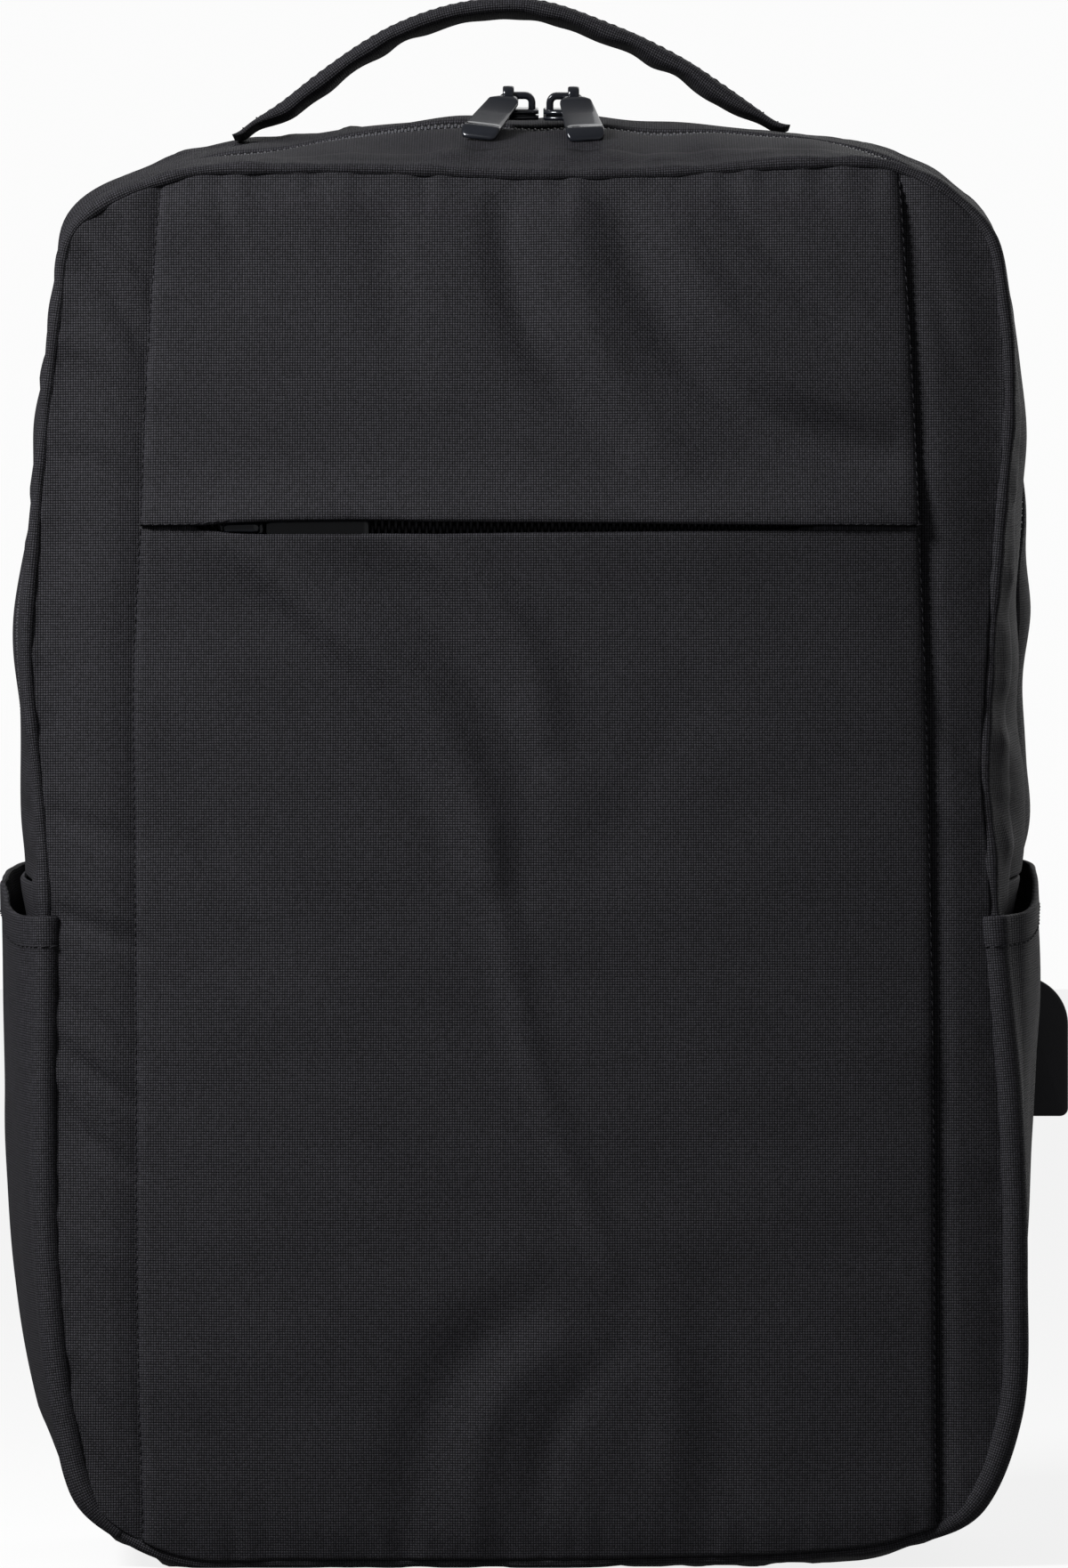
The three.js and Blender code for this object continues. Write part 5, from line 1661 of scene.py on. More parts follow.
@dataclass
class CoilZip:
    """A nylon coil along a line, as two rows of looped teeth.

    Attributes:
        pitch: distance from tooth to tooth on one side.
        half: half width of the coil.
        rise: height of the coil.
        wire: thickness of the nylon.
    """

    pitch: float = 0.002
    half: float = 0.0028
    rise: float = 0.0014
    wire: float = 0.00085

    def build(self, name: str, line: Array, normals: Array) -> Object:
        """Makes the coil.

        Args:
            name: name of the piece.
            line: the middle line on the tape's skin.
            normals: the tape's directions along it.

        Returns:
            The coil as one object.
        """
        draft = Draft()
        points, ways, ups = along(line, self.pitch, normals)
        ups = unit(ups - ways * np.sum(ups * ways, axis=1, keepdims=True))
        turn = np.linspace(0.05, 0.95, 7) * math.pi
        for side in (-1, 1):
            shift = 0.0 if side < 0 else self.pitch / 2
            for p, t, n in zip(points[:-1], ways, ups):
                across = np.cross(t, n) * side
                reach = (0.5 - np.cos(turn) / 2)[:, None] * (self.half + 0.0005) - 0.0005
                lift = np.sin(turn)[:, None] ** 0.8 * self.rise * 0.62
                middle = p + t * shift + across * reach + n * lift
                way = unit(np.gradient(middle, axis=0))
                side_way = same(t, len(turn))
                up_way = np.cross(side_way, way)
                rings = swept(middle, side_way, up_way, self.wire, self.wire, oval(6))
                Ringed("tooth", rings).draft(draft)
        return draft.finish(name)


@dataclass
class FrontZip:
    """The zip behind the slot: its tape and coil."""

    front: FrontCloth
    thick: float = 0.0012
    half: float = 0.018
    short: float = 0.048
    recess: float = 0.0042
    coil: CoilZip = field(default_factory=CoilZip)

    def tape_y(self, x: Array, w: Array) -> Array:
        """Plane of the tape's face."""
        f = self.front
        z = f.slot_height + w * self.half
        around = [f.panel_y(x, z + step) for step in (0.0, f.bag.cloth, -f.bag.cloth)]
        seat = np.max(around, axis=0) + f.bag.cloth + 2 * f.bag.gap
        dip = self.recess * np.cos(w * math.pi / 2) ** 1.5
        level = f.strip_y(x, np.full_like(x, f.slot_height)) - f.bag.proud + f.bag.cloth + 2 * f.bag.gap
        return np.maximum(seat, level + dip)

    def build(self) -> None:
        """Builds, dresses and places the zip."""
        f = self.front
        end = f.bag.front_half - self.short
        w, x = np.meshgrid(spaced(24, 2 * self.half, 0.0008) * 2 - 1, np.linspace(-end, end, 120), indexing="ij")
        z = f.slot_height + w * self.half
        skin = xyz(x, self.tape_y(x, w), z)
        plan = pairs(z, x)
        place_cloth(ClothSheet("slot_tape", skin, self.thick, edge=0.0008, plan=plan), WARDROBE.tape, ["front_zip"])
        run = np.linspace(-end * 0.985, end * 0.985, 160)
        line = xyz(run, self.tape_y(run, np.zeros_like(run)), np.full_like(run, f.slot_height))
        ways = same([0.0, -1.0, 0.0], len(run))
        place_piece(self.coil.build("slot_coil", line, ways), WARDROBE.coil)


@dataclass
class MainZip:
    """The zip over the top and down both sides."""

    cloth: SideCloth = field(default_factory=lambda: CLOTH)
    start: float = 0.3
    end: float = 0.4
    height: float = 0.203
    sunk: float = 0.0008
    thick: float = 0.0014
    coil: CoilZip = field(default_factory=CoilZip)

    def build(self) -> None:
        """Builds, dresses and places the tape and its coil."""
        first, last = (self.cloth.loop.on_side(side, self.height) for side in Side)
        clear = self.cloth.bag.gap / (self.cloth.bag.depth - 2 * self.cloth.bag.inset)
        share = np.linspace(first, last, 420)[:, None]
        depth = np.linspace(self.start + clear, self.end - clear, 25)[None, :]
        groove = np.abs(np.linspace(-1, 1, 25))[None, :]
        sink = -self.sunk - 0.0004 * (1 - groove)
        skin = self.cloth.point(share, depth, lift=sink)
        sheet = ClothSheet("main_tape", skin, self.thick, edge=0.0006)
        place_cloth(sheet, WARDROBE.tape, ["main_zip"])
        middle = skin[:, 12]
        place_piece(self.coil.build("main_coil", middle[3:-3], sheet.normal[3:-3, 12]), WARDROBE.coil)


# Side walls, piping and pockets


# Where the piping's cloth runs out onto the wall and back under it: share of the depth, and height over the wall
PIPING_TAIL = ((0.012, 0.00085), (0.025, 0.0006), (0.040, 0.00036), (0.056, 0.00016), (0.072, 0.00004),
               (0.072, -0.0004), (0.04, -0.0006), (0.004, -0.0008))

@dataclass
class SideWalls:
    """The cloth round the sides, the top and the base, and the rolled seams."""

    cloth: SideCloth = field(default_factory=lambda: CLOTH)
    zip_height: float = 0.203
    zip_start: float = 0.3
    zip_end: float = 0.4
    puckers: Ripples = Ripples(seed=21, longest=0.02, shortest=0.006, lift=0.0008)

    def band(self, name: str, first: float, last: float, depth: tuple[float, float],
             steps: tuple[int, int]) -> ClothSheet:
        """A band of side cloth.

        Args:
            name: name of the piece.
            first: share of the seam where it starts.
            last: share of the seam where it ends.
            depth: shares of the depth between which it lies.
            steps: even steps along it and across it.

        Returns:
            The sheet.
        """
        long = (last - first) * self.cloth.loop.long
        deep = (depth[1] - depth[0]) * self.cloth.bag.depth
        share = (first + (last - first) * spaced(steps[0], long, 0.0012))[:, None]
        across = (depth[0] + (depth[1] - depth[0]) * spaced(steps[1], deep, 0.0012))[None, :]
        skin = self.cloth.point(share, across)
        plan = np.stack(np.broadcast_arrays(across * self.cloth.bag.depth, share * self.cloth.loop.long), axis=-1)
        return ClothSheet(name, skin, self.cloth.bag.cloth, plan=plan)

    def piping(self, name: str, back: bool) -> Object:
        """A rolled seam just outside the seam line, whose cloth runs out onto the side wall.

        Args:
            name: name of the piece.
            back: whether it is the seam round the back.

        Returns:
            The object.
        """
        b, cloth = self.cloth.bag, self.cloth
        share = np.linspace(0, 1, 640, endpoint=False)
        rim = cloth.loop.at(share)
        x, z = cloth.carried(rim.x, rim.z, float(back))
        wave = self.puckers.at(share * cloth.loop.long, np.zeros_like(share))
        radius = b.welt + wave / 2
        way, y = (1.0, b.back_y) if back else (-1.0, b.front_y)
        rings = []
        for turn in np.radians(np.linspace(205, 5, 13)):
            out, ahead = b.welt + radius * math.cos(turn), radius * math.sin(turn) * way
            rings.append(xyz(x + rim.out_x * out, y + ahead, z + rim.out_z * out))
        for depth, lift in PIPING_TAIL:
            rings.append(cloth.point(share, 1 - depth if back else depth, lift=lift))
        rings = np.stack(rings, axis=1)
        rings[..., 2] = np.maximum(rings[..., 2], LOWEST)
        return Ringed(name, rings, closed=True).build()

    def build(self) -> None:
        """Builds, dresses and places the walls and the piping."""
        loop = self.cloth.loop
        first, last = (loop.on_side(side, self.zip_height) for side in Side)
        clear = self.cloth.bag.gap / loop.long
        place_cloth(self.band("front_gusset_cloth", first, last, (0.0, self.zip_start), (420, 16)),
                    WARDROBE.woven, ["front_gusset"])
        place_cloth(self.band("rear_gusset_cloth", first, last, (self.zip_end, 1.0), (420, 26)),
                    WARDROBE.woven, ["rear_gusset"])
        place_cloth(self.band("lower_gusset_cloth", last + clear, first + 1 - clear, (0.0, 1.0), (300, 44)),
                    WARDROBE.woven, ["lower_gusset"])
        place_piece(self.piping("front_piping", False), WARDROBE.woven, ["front_welt"])
        place_piece(self.piping("back_piping", True), WARDROBE.woven, ["back_welt"])


@dataclass
class SidePockets:
    """The open pockets on both sides, with a stitched hem."""

    cloth: SideCloth = field(default_factory=lambda: CLOTH)
    thick: float = 0.0015
    low: float = 0.012
    mouth: float = 0.191
    hem: float = 0.009
    hem_proud: float = 0.0005
    right_depth: float = 0.62
    foot_fade: float = 0.09
    foot_proud: float = 0.0003
    lip: float = 0.0025
    front_share: float = 0.022
    mouth_rise: dict[str, float] = field(default_factory=lambda: {"LEFT": 0.006, "RIGHT": 0.009})
    folds: Ripples = Ripples(seed=31, longest=0.04, shortest=0.012, lift=0.0006)

    def pocket(self, side: Side) -> ClothSheet:
        """One pocket."""
        c, b = self.cloth, self.cloth.bag
        swell = curve_through(POCKETS, "z", side.name.lower())
        deep = 1.0 if side is Side.LEFT else self.right_depth
        foot = c.loop.on_side(side, self.low)
        top = c.loop.on_side(side, self.mouth)
        foot -= round(foot - top)
        height = self.mouth - self.low
        hem_at = 1 - self.hem / height
        v = spaced(110, height, 0.001)
        t = self.front_share + (deep - self.front_share) * spaced(70, deep * b.depth, 0.001)
        w = (t / deep)[None, :]
        rise = self.lip + self.mouth_rise[side.name] * smooth(0.02, 0.45, t)
        mouth = np.array([c.loop.on_side(side, self.mouth + up) for up in rise])[None, :]
        share = foot + (mouth - foot) * v[:, None]
        rim = c.loop.at(share)
        free = np.maximum(np.sin(math.pi * w), 0) ** 0.55 * np.minimum(1, 5 * v[:, None])
        seat = self.thick + b.gap + b.seat
        depth = np.broadcast_to(t[None, :], share.shape)
        extra = swell(rim.z / b.front_top) * b.side_swell - rim.swell * c.swell_at(depth) - seat
        extra = np.maximum(extra, 0) * free
        hem = self.hem_proud * smooth(hem_at - 0.002, hem_at + 0.004, v)[:, None]
        slack = self.folds.at(share * c.loop.long * 0.4, depth * b.depth) * free
        grow = smooth(0.0, self.foot_fade, v)[:, None]
        lift = seat + extra - c.pucker(share, depth) * free + hem + slack
        lift = np.maximum(lift * grow, self.foot_proud)
        skin = c.point(share, depth, lift=lift, crumpled=False)
        turns = np.radians(np.linspace(165, 8, 13))
        first = share[:, :1]
        at = c.loop.at(first)
        radius = b.welt + self.foot_proud + (b.gap + self.thick - 0.0001 + hem) * grow
        out = b.welt + radius * np.cos(turns)
        ahead = b.front_y - radius * np.sin(turns)
        roll = xyz(at.x + at.out_x * out, np.broadcast_to(ahead, out.shape), at.z + at.out_z * out)
        skin = np.concatenate([roll, skin], axis=1)
        around = (np.pi - turns) * 0.004 - 0.0125
        plan_x = np.concatenate([np.broadcast_to(around, out.shape), depth * b.depth], axis=1)
        plan_y = np.concatenate([np.broadcast_to(first, out.shape), share], axis=1) * c.loop.long
        plan = pairs(plan_x, plan_y)
        thick = np.broadcast_to(self.thick + hem, skin.shape[:2])
        name = f"side_pocket_cloth_{side.name.lower()}"
        return ClothSheet(name, skin, thick, heart=(0, 0, 0.1), edge=0.001, plan=plan)

    def build(self) -> None:
        """Builds, dresses, sews and places the pockets."""
        draft, stitches = Draft(), Stitches(pitch=0.0030)
        for side in Side:
            sheet = self.pocket(side)
            place_cloth(sheet, WARDROBE.woven, [f"side_pocket_{side.name.lower()}"])
            line, ways = sheet.line(Run.ALONG_COLUMNS, self.hem, from_end=True)
            stitches.row(draft, line[3:-3], ways[3:-3])
        place_piece(draft.finish("pocket_stitching"), WARDROBE.thread)


# Handle


@dataclass
class CarryHandle:
    """The padded handle, its sewn roots and its edge stitching."""

    cloth: SideCloth = field(default_factory=lambda: CLOTH)
    half: float = 0.083
    rise: float = 0.040
    foot: float = 0.4354
    wide: float = 0.024
    thick: float = 0.006
    left_y: float = 0.044
    right_y: float = 0.047
    root_long: float = 0.0035
    root_thick: float = 0.0026
    swell_from: float = 0.006
    swell_to: float = 0.020
    step: float = 0.0013
    puckers: Ripples = Ripples(seed=44, longest=0.02, shortest=0.009, lift=0.0004)

    def path(self) -> Array:
        """Points of the outer edge, evenly spaced."""
        knots = np.array([[row.x * self.half, self.left_y + (self.right_y - self.left_y) * (row.x + 1) / 2,
                           self.foot + row.rise * self.rise] for row in HANDLE])
        run = np.concatenate([[0], np.cumsum(np.sqrt(np.linalg.norm(np.diff(knots, axis=0), axis=1)))])
        fine = np.linspace(0, run[-1], 400)
        slope = np.gradient(knots, run, axis=0)
        return xyz(*(hermite(run, knots[:, k], slope[:, k], fine) for k in range(3)))

    def with_roots(self, line: Array) -> Array:
        """The outer edge with flat roots sewn to the top at both ends, evenly spaced."""
        ends = []
        for end, way in ((line[0], -1), (line[-1], 1)):
            x = end[0] + way * np.linspace(0.001, self.root_long, 3)
            y = np.full_like(x, end[1])
            z = self.cloth.top_height(x, y) + self.root_thick
            ends.append(xyz(x, y, z))
        floor = self.cloth.top_height(line[:, 0], line[:, 1]) + self.root_thick
        line = line.copy()
        line[:, 2] = np.maximum(line[:, 2], floor)
        joined_up = along(np.concatenate([ends[0][::-1], line, ends[1]]), 0.002)[0]
        return along(softened(joined_up, 3), self.step)[0]

    def build(self) -> None:
        """Builds, dresses and places the handle."""
        outer = self.with_roots(self.path())
        way = unit(np.gradient(outer, axis=0))
        across = same([0.0, 1.0, 0.0], len(outer))
        out = unit(np.cross(way, across))
        out = out * np.sign(out[len(out) // 2, 2])
        run = np.arange(len(outer)) * self.step
        to_end = np.minimum(run, run[-1] - run)
        thick = self.root_thick + (self.thick - self.root_thick) * smooth(self.swell_from, self.swell_to, to_end)
        thick = thick * (0.35 + 0.65 * smooth(0.0, 0.0022, to_end))
        middle = outer - out * thick[:, None] / 2
        shape = oval(32, 2.9)
        rings = swept(middle, across, out, self.wide, thick, shape)
        inner_side = smooth(-0.2, 1.0, -shape[:, 1])[None, :]
        wave = self.puckers.at(run[:, None], shape[None, :, 0] * 0.004) * (inner_side + 0.15)
        wave = wave * smooth(self.swell_from, self.swell_to, to_end)[:, None]
        rings = rings - out[:, None, :] * wave[..., None]
        floor = self.cloth.top_height(rings[::4, :, 0], rings[::4, :, 1])
        rows = np.arange(len(rings))
        floor = np.stack([np.interp(rows, rows[::4], floor[:, k]) for k in range(floor.shape[1])], axis=1)
        rings[..., 2] = np.maximum(rings[..., 2], floor + self.cloth.bag.gap * 0.5)
        piece = place_piece(Ringed("padded_handle", rings).build(), WARDROBE.woven, ["handle"])
        draft, stitches = Draft(), Stitches(pitch=0.0032)
        for edge in (-1, 1):
            line = outer + across * edge * self.wide * 0.33 - out * 0.0005
            stitches.row(draft, line[8:-8], out[8:-8])
        for row in (3, 7, -8, -4):
            ends = outer[row] + across[row] * np.array([[-0.36], [0.36]]) * self.wide - out[row] * 0.0003
            line = np.linspace(ends[0], ends[1], 12)
            stitches.row(draft, line, same(out[row], 12))
        place_piece(draft.finish("handle_stitching"), WARDROBE.thread)


# Hardware


@dataclass
class Slider:
    """A zip slider: two plates, a diamond between them, and an arched bridge that carries the pull."""

    long: float = 0.013
    wide: float = 0.010
    thick: float = 0.003
    span: float = 0.0112
    arch_wide: float = 0.0032
    bar: float = 0.0011
    window: float = 0.0029

    def plates(self, name: str) -> Object:
        """The slider's body, lying in X and Y with its bottom at nought."""
        half = self.long / 2
        upper = [(-half, self.wide * 0.46), (half * 0.1, self.wide * 0.5), (half * 0.75, self.wide * 0.42),
                 (half, self.wide * 0.2)]
        outline = [(x, -y) for x, y in upper] + upper[::-1]
        flat = np.array(outline)
        levels = ((0.0, 0.94), (0.0003, 1.0), (self.thick * 0.36, 1.0), (self.thick * 0.42, 0.86),
                  (self.thick * 0.58, 0.86),
                  (self.thick * 0.64, 1.0), (self.thick - 0.0004, 1.0), (self.thick, 0.92))
        rings = np.stack([np.column_stack([flat * k, np.full(len(flat), z)]) for z, k in levels])
        return Ringed(name, rings).build()

    def bridge(self, name: str, tall: float, lean: float = 0.0) -> Object:
        """The arched bar over the slider, standing along X.

        Args:
            name: name of the piece.
            tall: height of the window under it.
            lean: how far its outer foot is drawn out, with the sign of X.

        Returns:
            The object.
        """
        half, top = self.span / 2 - self.bar, self.thick + tall + self.bar
        foot = self.thick * 0.7
        corner = min(tall, 0.0021)
        bend = np.linspace(math.pi, math.pi / 2, 7)
        rounded = [(-half + corner * (1 + math.cos(a)), top - corner * (1 - math.sin(a))) for a in bend]
        left = np.array([(-half, foot), *rounded])
        middle = np.concatenate([left, (left * [-1, 1])[::-1]])
        drawn = np.clip((top - middle[:, 1]) / (top - foot), 0, 1) * np.where(middle[:, 0] * lean > 0, lean, 0)
        middle = xyz(middle[:, 0] + drawn, np.zeros(len(middle)), middle[:, 1])
        middle = along(middle, 0.0006)[0]
        way = unit(np.gradient(middle, axis=0))
        side = same([0.0, 1.0, 0.0], len(middle))
        out = np.cross(way, side)
        return Ringed(name, swept(middle, side, out, self.arch_wide, self.bar * 2, oval(16, 3.6))).build()


def joined(name: str, pieces: Sequence[Object]) -> Object:
    """Several meshes as one object."""
    draft = Draft()
    for piece in pieces:
        mesh = piece.data
        mesh.transform(piece.matrix_world)
        points = np.array([v.co for v in mesh.vertices])
        faces = [list(face.vertices) for face in mesh.polygons]
        layer = mesh.uv_layers.get("cloth")
        corners = np.array([loop.uv for loop in layer.data]) if layer else None
        draft.add(points, faces, corners)
        bpy.data.objects.remove(piece)
    return draft.finish(name)


@dataclass
class PullTab:
    """A flat pull with an eye at one end and a rolled lip at the other, hanging along -Y from its bar."""

    long: float = 0.031
    wide: float = 0.0115
    thick: float = 0.0024
    hole: float = 0.0019
    wall: float = 0.0010
    eye_wide: float = 0.0034

    def tab(self, name: str, splay: float, start: float, shoulder: float) -> Object:
        """The tab, splayed sideways by an angle in radians."""
        half = self.wide / 2
        profile = ((start, 0.30, 0.85), (start + 0.0007, 0.34, 1.0), (start + 0.0012, 0.62, 1.0),
                   (shoulder, 0.80, 0.95),
                   (shoulder + 0.0008, 0.84, 0.80), (shoulder + 0.0011, 0.845, 0.66), (self.long * 0.5, 0.92, 0.62),
                   (self.long * 0.78, 0.985, 0.64), (self.long - 0.0044, 1.0, 0.70), (self.long - 0.0040, 1.0, 0.92),
                   (self.long - 0.0034, 1.0, 1.0), (self.long - 0.0018, 0.98, 0.9), (self.long - 0.0006, 0.88, 0.6),
                   (self.long, 0.70, 0.3))
        reach, wide, thick = (np.array(column) for column in zip(*profile))
        wide, thick = wide * half * 2, thick * self.thick
        bend = np.clip((reach - start) / (shoulder - start), 0, 1) * splay
        curl = -0.0016 * smooth(self.long - 0.0036, self.long, reach)
        middle = xyz(np.sin(bend) * reach, -np.cos(bend) * reach, curl)
        side = xyz(np.cos(bend), np.sin(bend), np.zeros_like(bend))
        up = same([0.0, 0.0, 1.0], len(reach))
        return Ringed(name, swept(middle, side, up, wide, thick, oval(28, 5.0))).build()

    def eye(self, name: str) -> Object:
        """The ring round the bar, whose axis is X."""
        turn = np.linspace(0, 2 * math.pi, 36, endpoint=False)
        mid = self.hole + self.wall / 2
        middle = xyz(np.zeros_like(turn), mid * np.cos(turn), mid * np.sin(turn))
        out = xyz(np.zeros_like(turn), np.cos(turn), np.sin(turn))
        side = same([1.0, 0.0, 0.0], len(turn))
        return Ringed(name, swept(middle, side, out, self.eye_wide, self.wall, oval(12, 2.8)), closed=True).build()


@dataclass
class ZipHardware:
    """The sliders and pulls of both zips."""

    slider: Slider = field(default_factory=Slider)
    pull: PullTab = field(default_factory=PullTab)
    splay: dict[str, float] = field(default_factory=lambda: {"LEFT": math.radians(17), "RIGHT": math.radians(7)})
    hung_out: float = 0.0026

    def pair(self, side: Side) -> None:
        """One slider on the top and its pull."""
        name = side.name.lower()
        joint = next(j for j in frame["joints"] if j["name"] == f"{name}_pull_swing")
        axis = np.array(joint["pos_m"])
        tilt = self._tilt(f"slider_{name}")
        turned = (np.cos(tilt), np.sin(tilt))
        bar = self.slider.thick + self.slider.window + self.slider.bar
        base = axis - bar * np.array([0, -turned[1], turned[0]])
        body = joined("slider_parts", [self.slider.plates("plates"),
                                        self.slider.bridge("bridge", self.slider.window, 0.0014)])
        self._turn(body, (side.value, side.value, 1))
        self._tip(body, tilt, base)
        body.name = f"zip_slider_{name}"
        place_piece(body, WARDROBE.metal, [f"slider_{name}"])
        start = self.pull.hole + self.pull.wall * 0.3
        tab = self.pull.tab("tab", self.splay[side.name] * side.value, start, start + 0.0026)
        tab = joined("pull_parts", [tab, self.pull.eye("eye")])
        hung = axis + np.array([self.hung_out * side.value, 0.0, 0.0])
        self._tip(tab, self._tilt(f"pull_{name}"), hung)
        tab.name = f"zip_pull_{name}"
        place_piece(tab, WARDROBE.metal, [f"pull_{name}"], body=f"{name}_pull")

    @staticmethod
    def _turn(obj: Object, scale: tuple[int, int, int]) -> None:
        """Turns a mesh half round by its signs."""
        points = np.array([v.co for v in obj.data.vertices]) * np.array(scale)
        obj.data.vertices.foreach_set("co", points.ravel().astype(np.float32))
        obj.data.update()

    @staticmethod
    def _tip(obj: Object, tilt: float, place: Array) -> None:
        """Tips a mesh back about X and moves it."""
        points = np.array([v.co for v in obj.data.vertices])
        y = points[:, 1] * math.cos(tilt) - points[:, 2] * math.sin(tilt)
        z = points[:, 1] * math.sin(tilt) + points[:, 2] * math.cos(tilt)
        moved = xyz(points[:, 0], y, z) + place
        obj.data.vertices.foreach_set("co", moved.ravel().astype(np.float32))
        obj.data.update()

    @staticmethod
    def _tilt(node: str) -> float:
        """How far a solid is tipped back about X, from its largest flat faces."""
        mesh = frame["nodes"][node].data
        upward = [face for face in mesh.polygons if abs(face.normal.x) < 0.1 and face.normal.z > 0.5]
        best = max(upward, key=lambda face: face.area)
        return math.atan2(-best.normal.y, best.normal.z)

    def in_slot(self) -> None:
        """The slider and the pull that lie in the slot."""
        low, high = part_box("front_slider")
        body = joined("slider_parts", [self.slider.plates("plates"), self.slider.bridge("bridge", 0.0004)])
        self._tip(body, math.pi / 2, np.array([(low.x + high.x) / 2, high.y, (low.z + high.z) / 2]))
        body.name = "slot_slider"
        place_piece(body, WARDROBE.metal, ["front_slider"])
        low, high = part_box("front_pull")
        run = np.array([0.0, 0.0006, 0.0028, 0.0045, 0.024, 0.0268, 0.0272, 0.0294, 0.0304, 0.031])
        wide = self.pull.wide * np.array([0.32, 0.45, 0.8, 0.96, 1.0, 1.0, 1.0, 0.98, 0.9, 0.72])
        thick = (high.y - low.y) * np.array([0.6, 0.8, 0.9, 0.86, 0.86, 0.92, 1.0, 0.96, 0.8, 0.35])
        middle = xyz(low.x + run, np.full_like(run, (low.y + high.y) / 2), np.full_like(run, (low.z + high.z) / 2))
        up = same([0.0, 0.0, 1.0], len(run))
        out = same([0.0, -1.0, 0.0], len(run))
        tab = Ringed("slot_pull", swept(middle, up, out, wide, thick, oval(24, 5.0))).build()
        place_piece(tab, WARDROBE.metal, ["front_pull"])

    def build(self) -> None:
        """Builds, dresses and places the hardware."""
        for side in Side:
            self.pair(side)
        self.in_slot()


@dataclass
class SocketHousing:
    """The moulded housing on the right side, with its socket open downwards."""

    corner: float = 0.0025
    socket_long: float = 0.013
    socket_wide: float = 0.0056
    socket_deep: float = 0.010

    def build(self) -> None:
        """Builds, dresses and places the housing."""
        low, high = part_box("usb_housing")
        c, shoulder = self.corner, (high.x - low.x) * 0.86
        lower = [(high.x - c + c * math.sin(a), low.z + c - c * math.cos(a)) for a in np.linspace(0, math.pi / 2, 8)]
        upper = [(high.x - shoulder + shoulder * math.cos(a), high.z - shoulder + shoulder * math.sin(a))
                 for a in np.linspace(0, math.pi / 2, 22)]
        outline = [(low.x, low.z), *lower, *upper, (low.x, high.z)]
        shell = bevelled(plate("socket_housing", outline, low.y, high.y), 0.0011, 4)
        x, y = (low.x + high.x) / 2, (low.y + high.y) / 2
        half_w, half_l = self.socket_wide / 2, self.socket_long / 2
        foot, roof = low.z - 0.002, low.z + self.socket_deep
        corners = [(x - half_w, foot), (x + half_w, foot), (x + half_w, roof), (x - half_w, roof)]
        hole = plate("socket_cutter", corners, y - half_l, y + half_l)
        place_piece(cut(shell, [hole]), WARDROBE.plastic, ["usb_housing"])


# Back


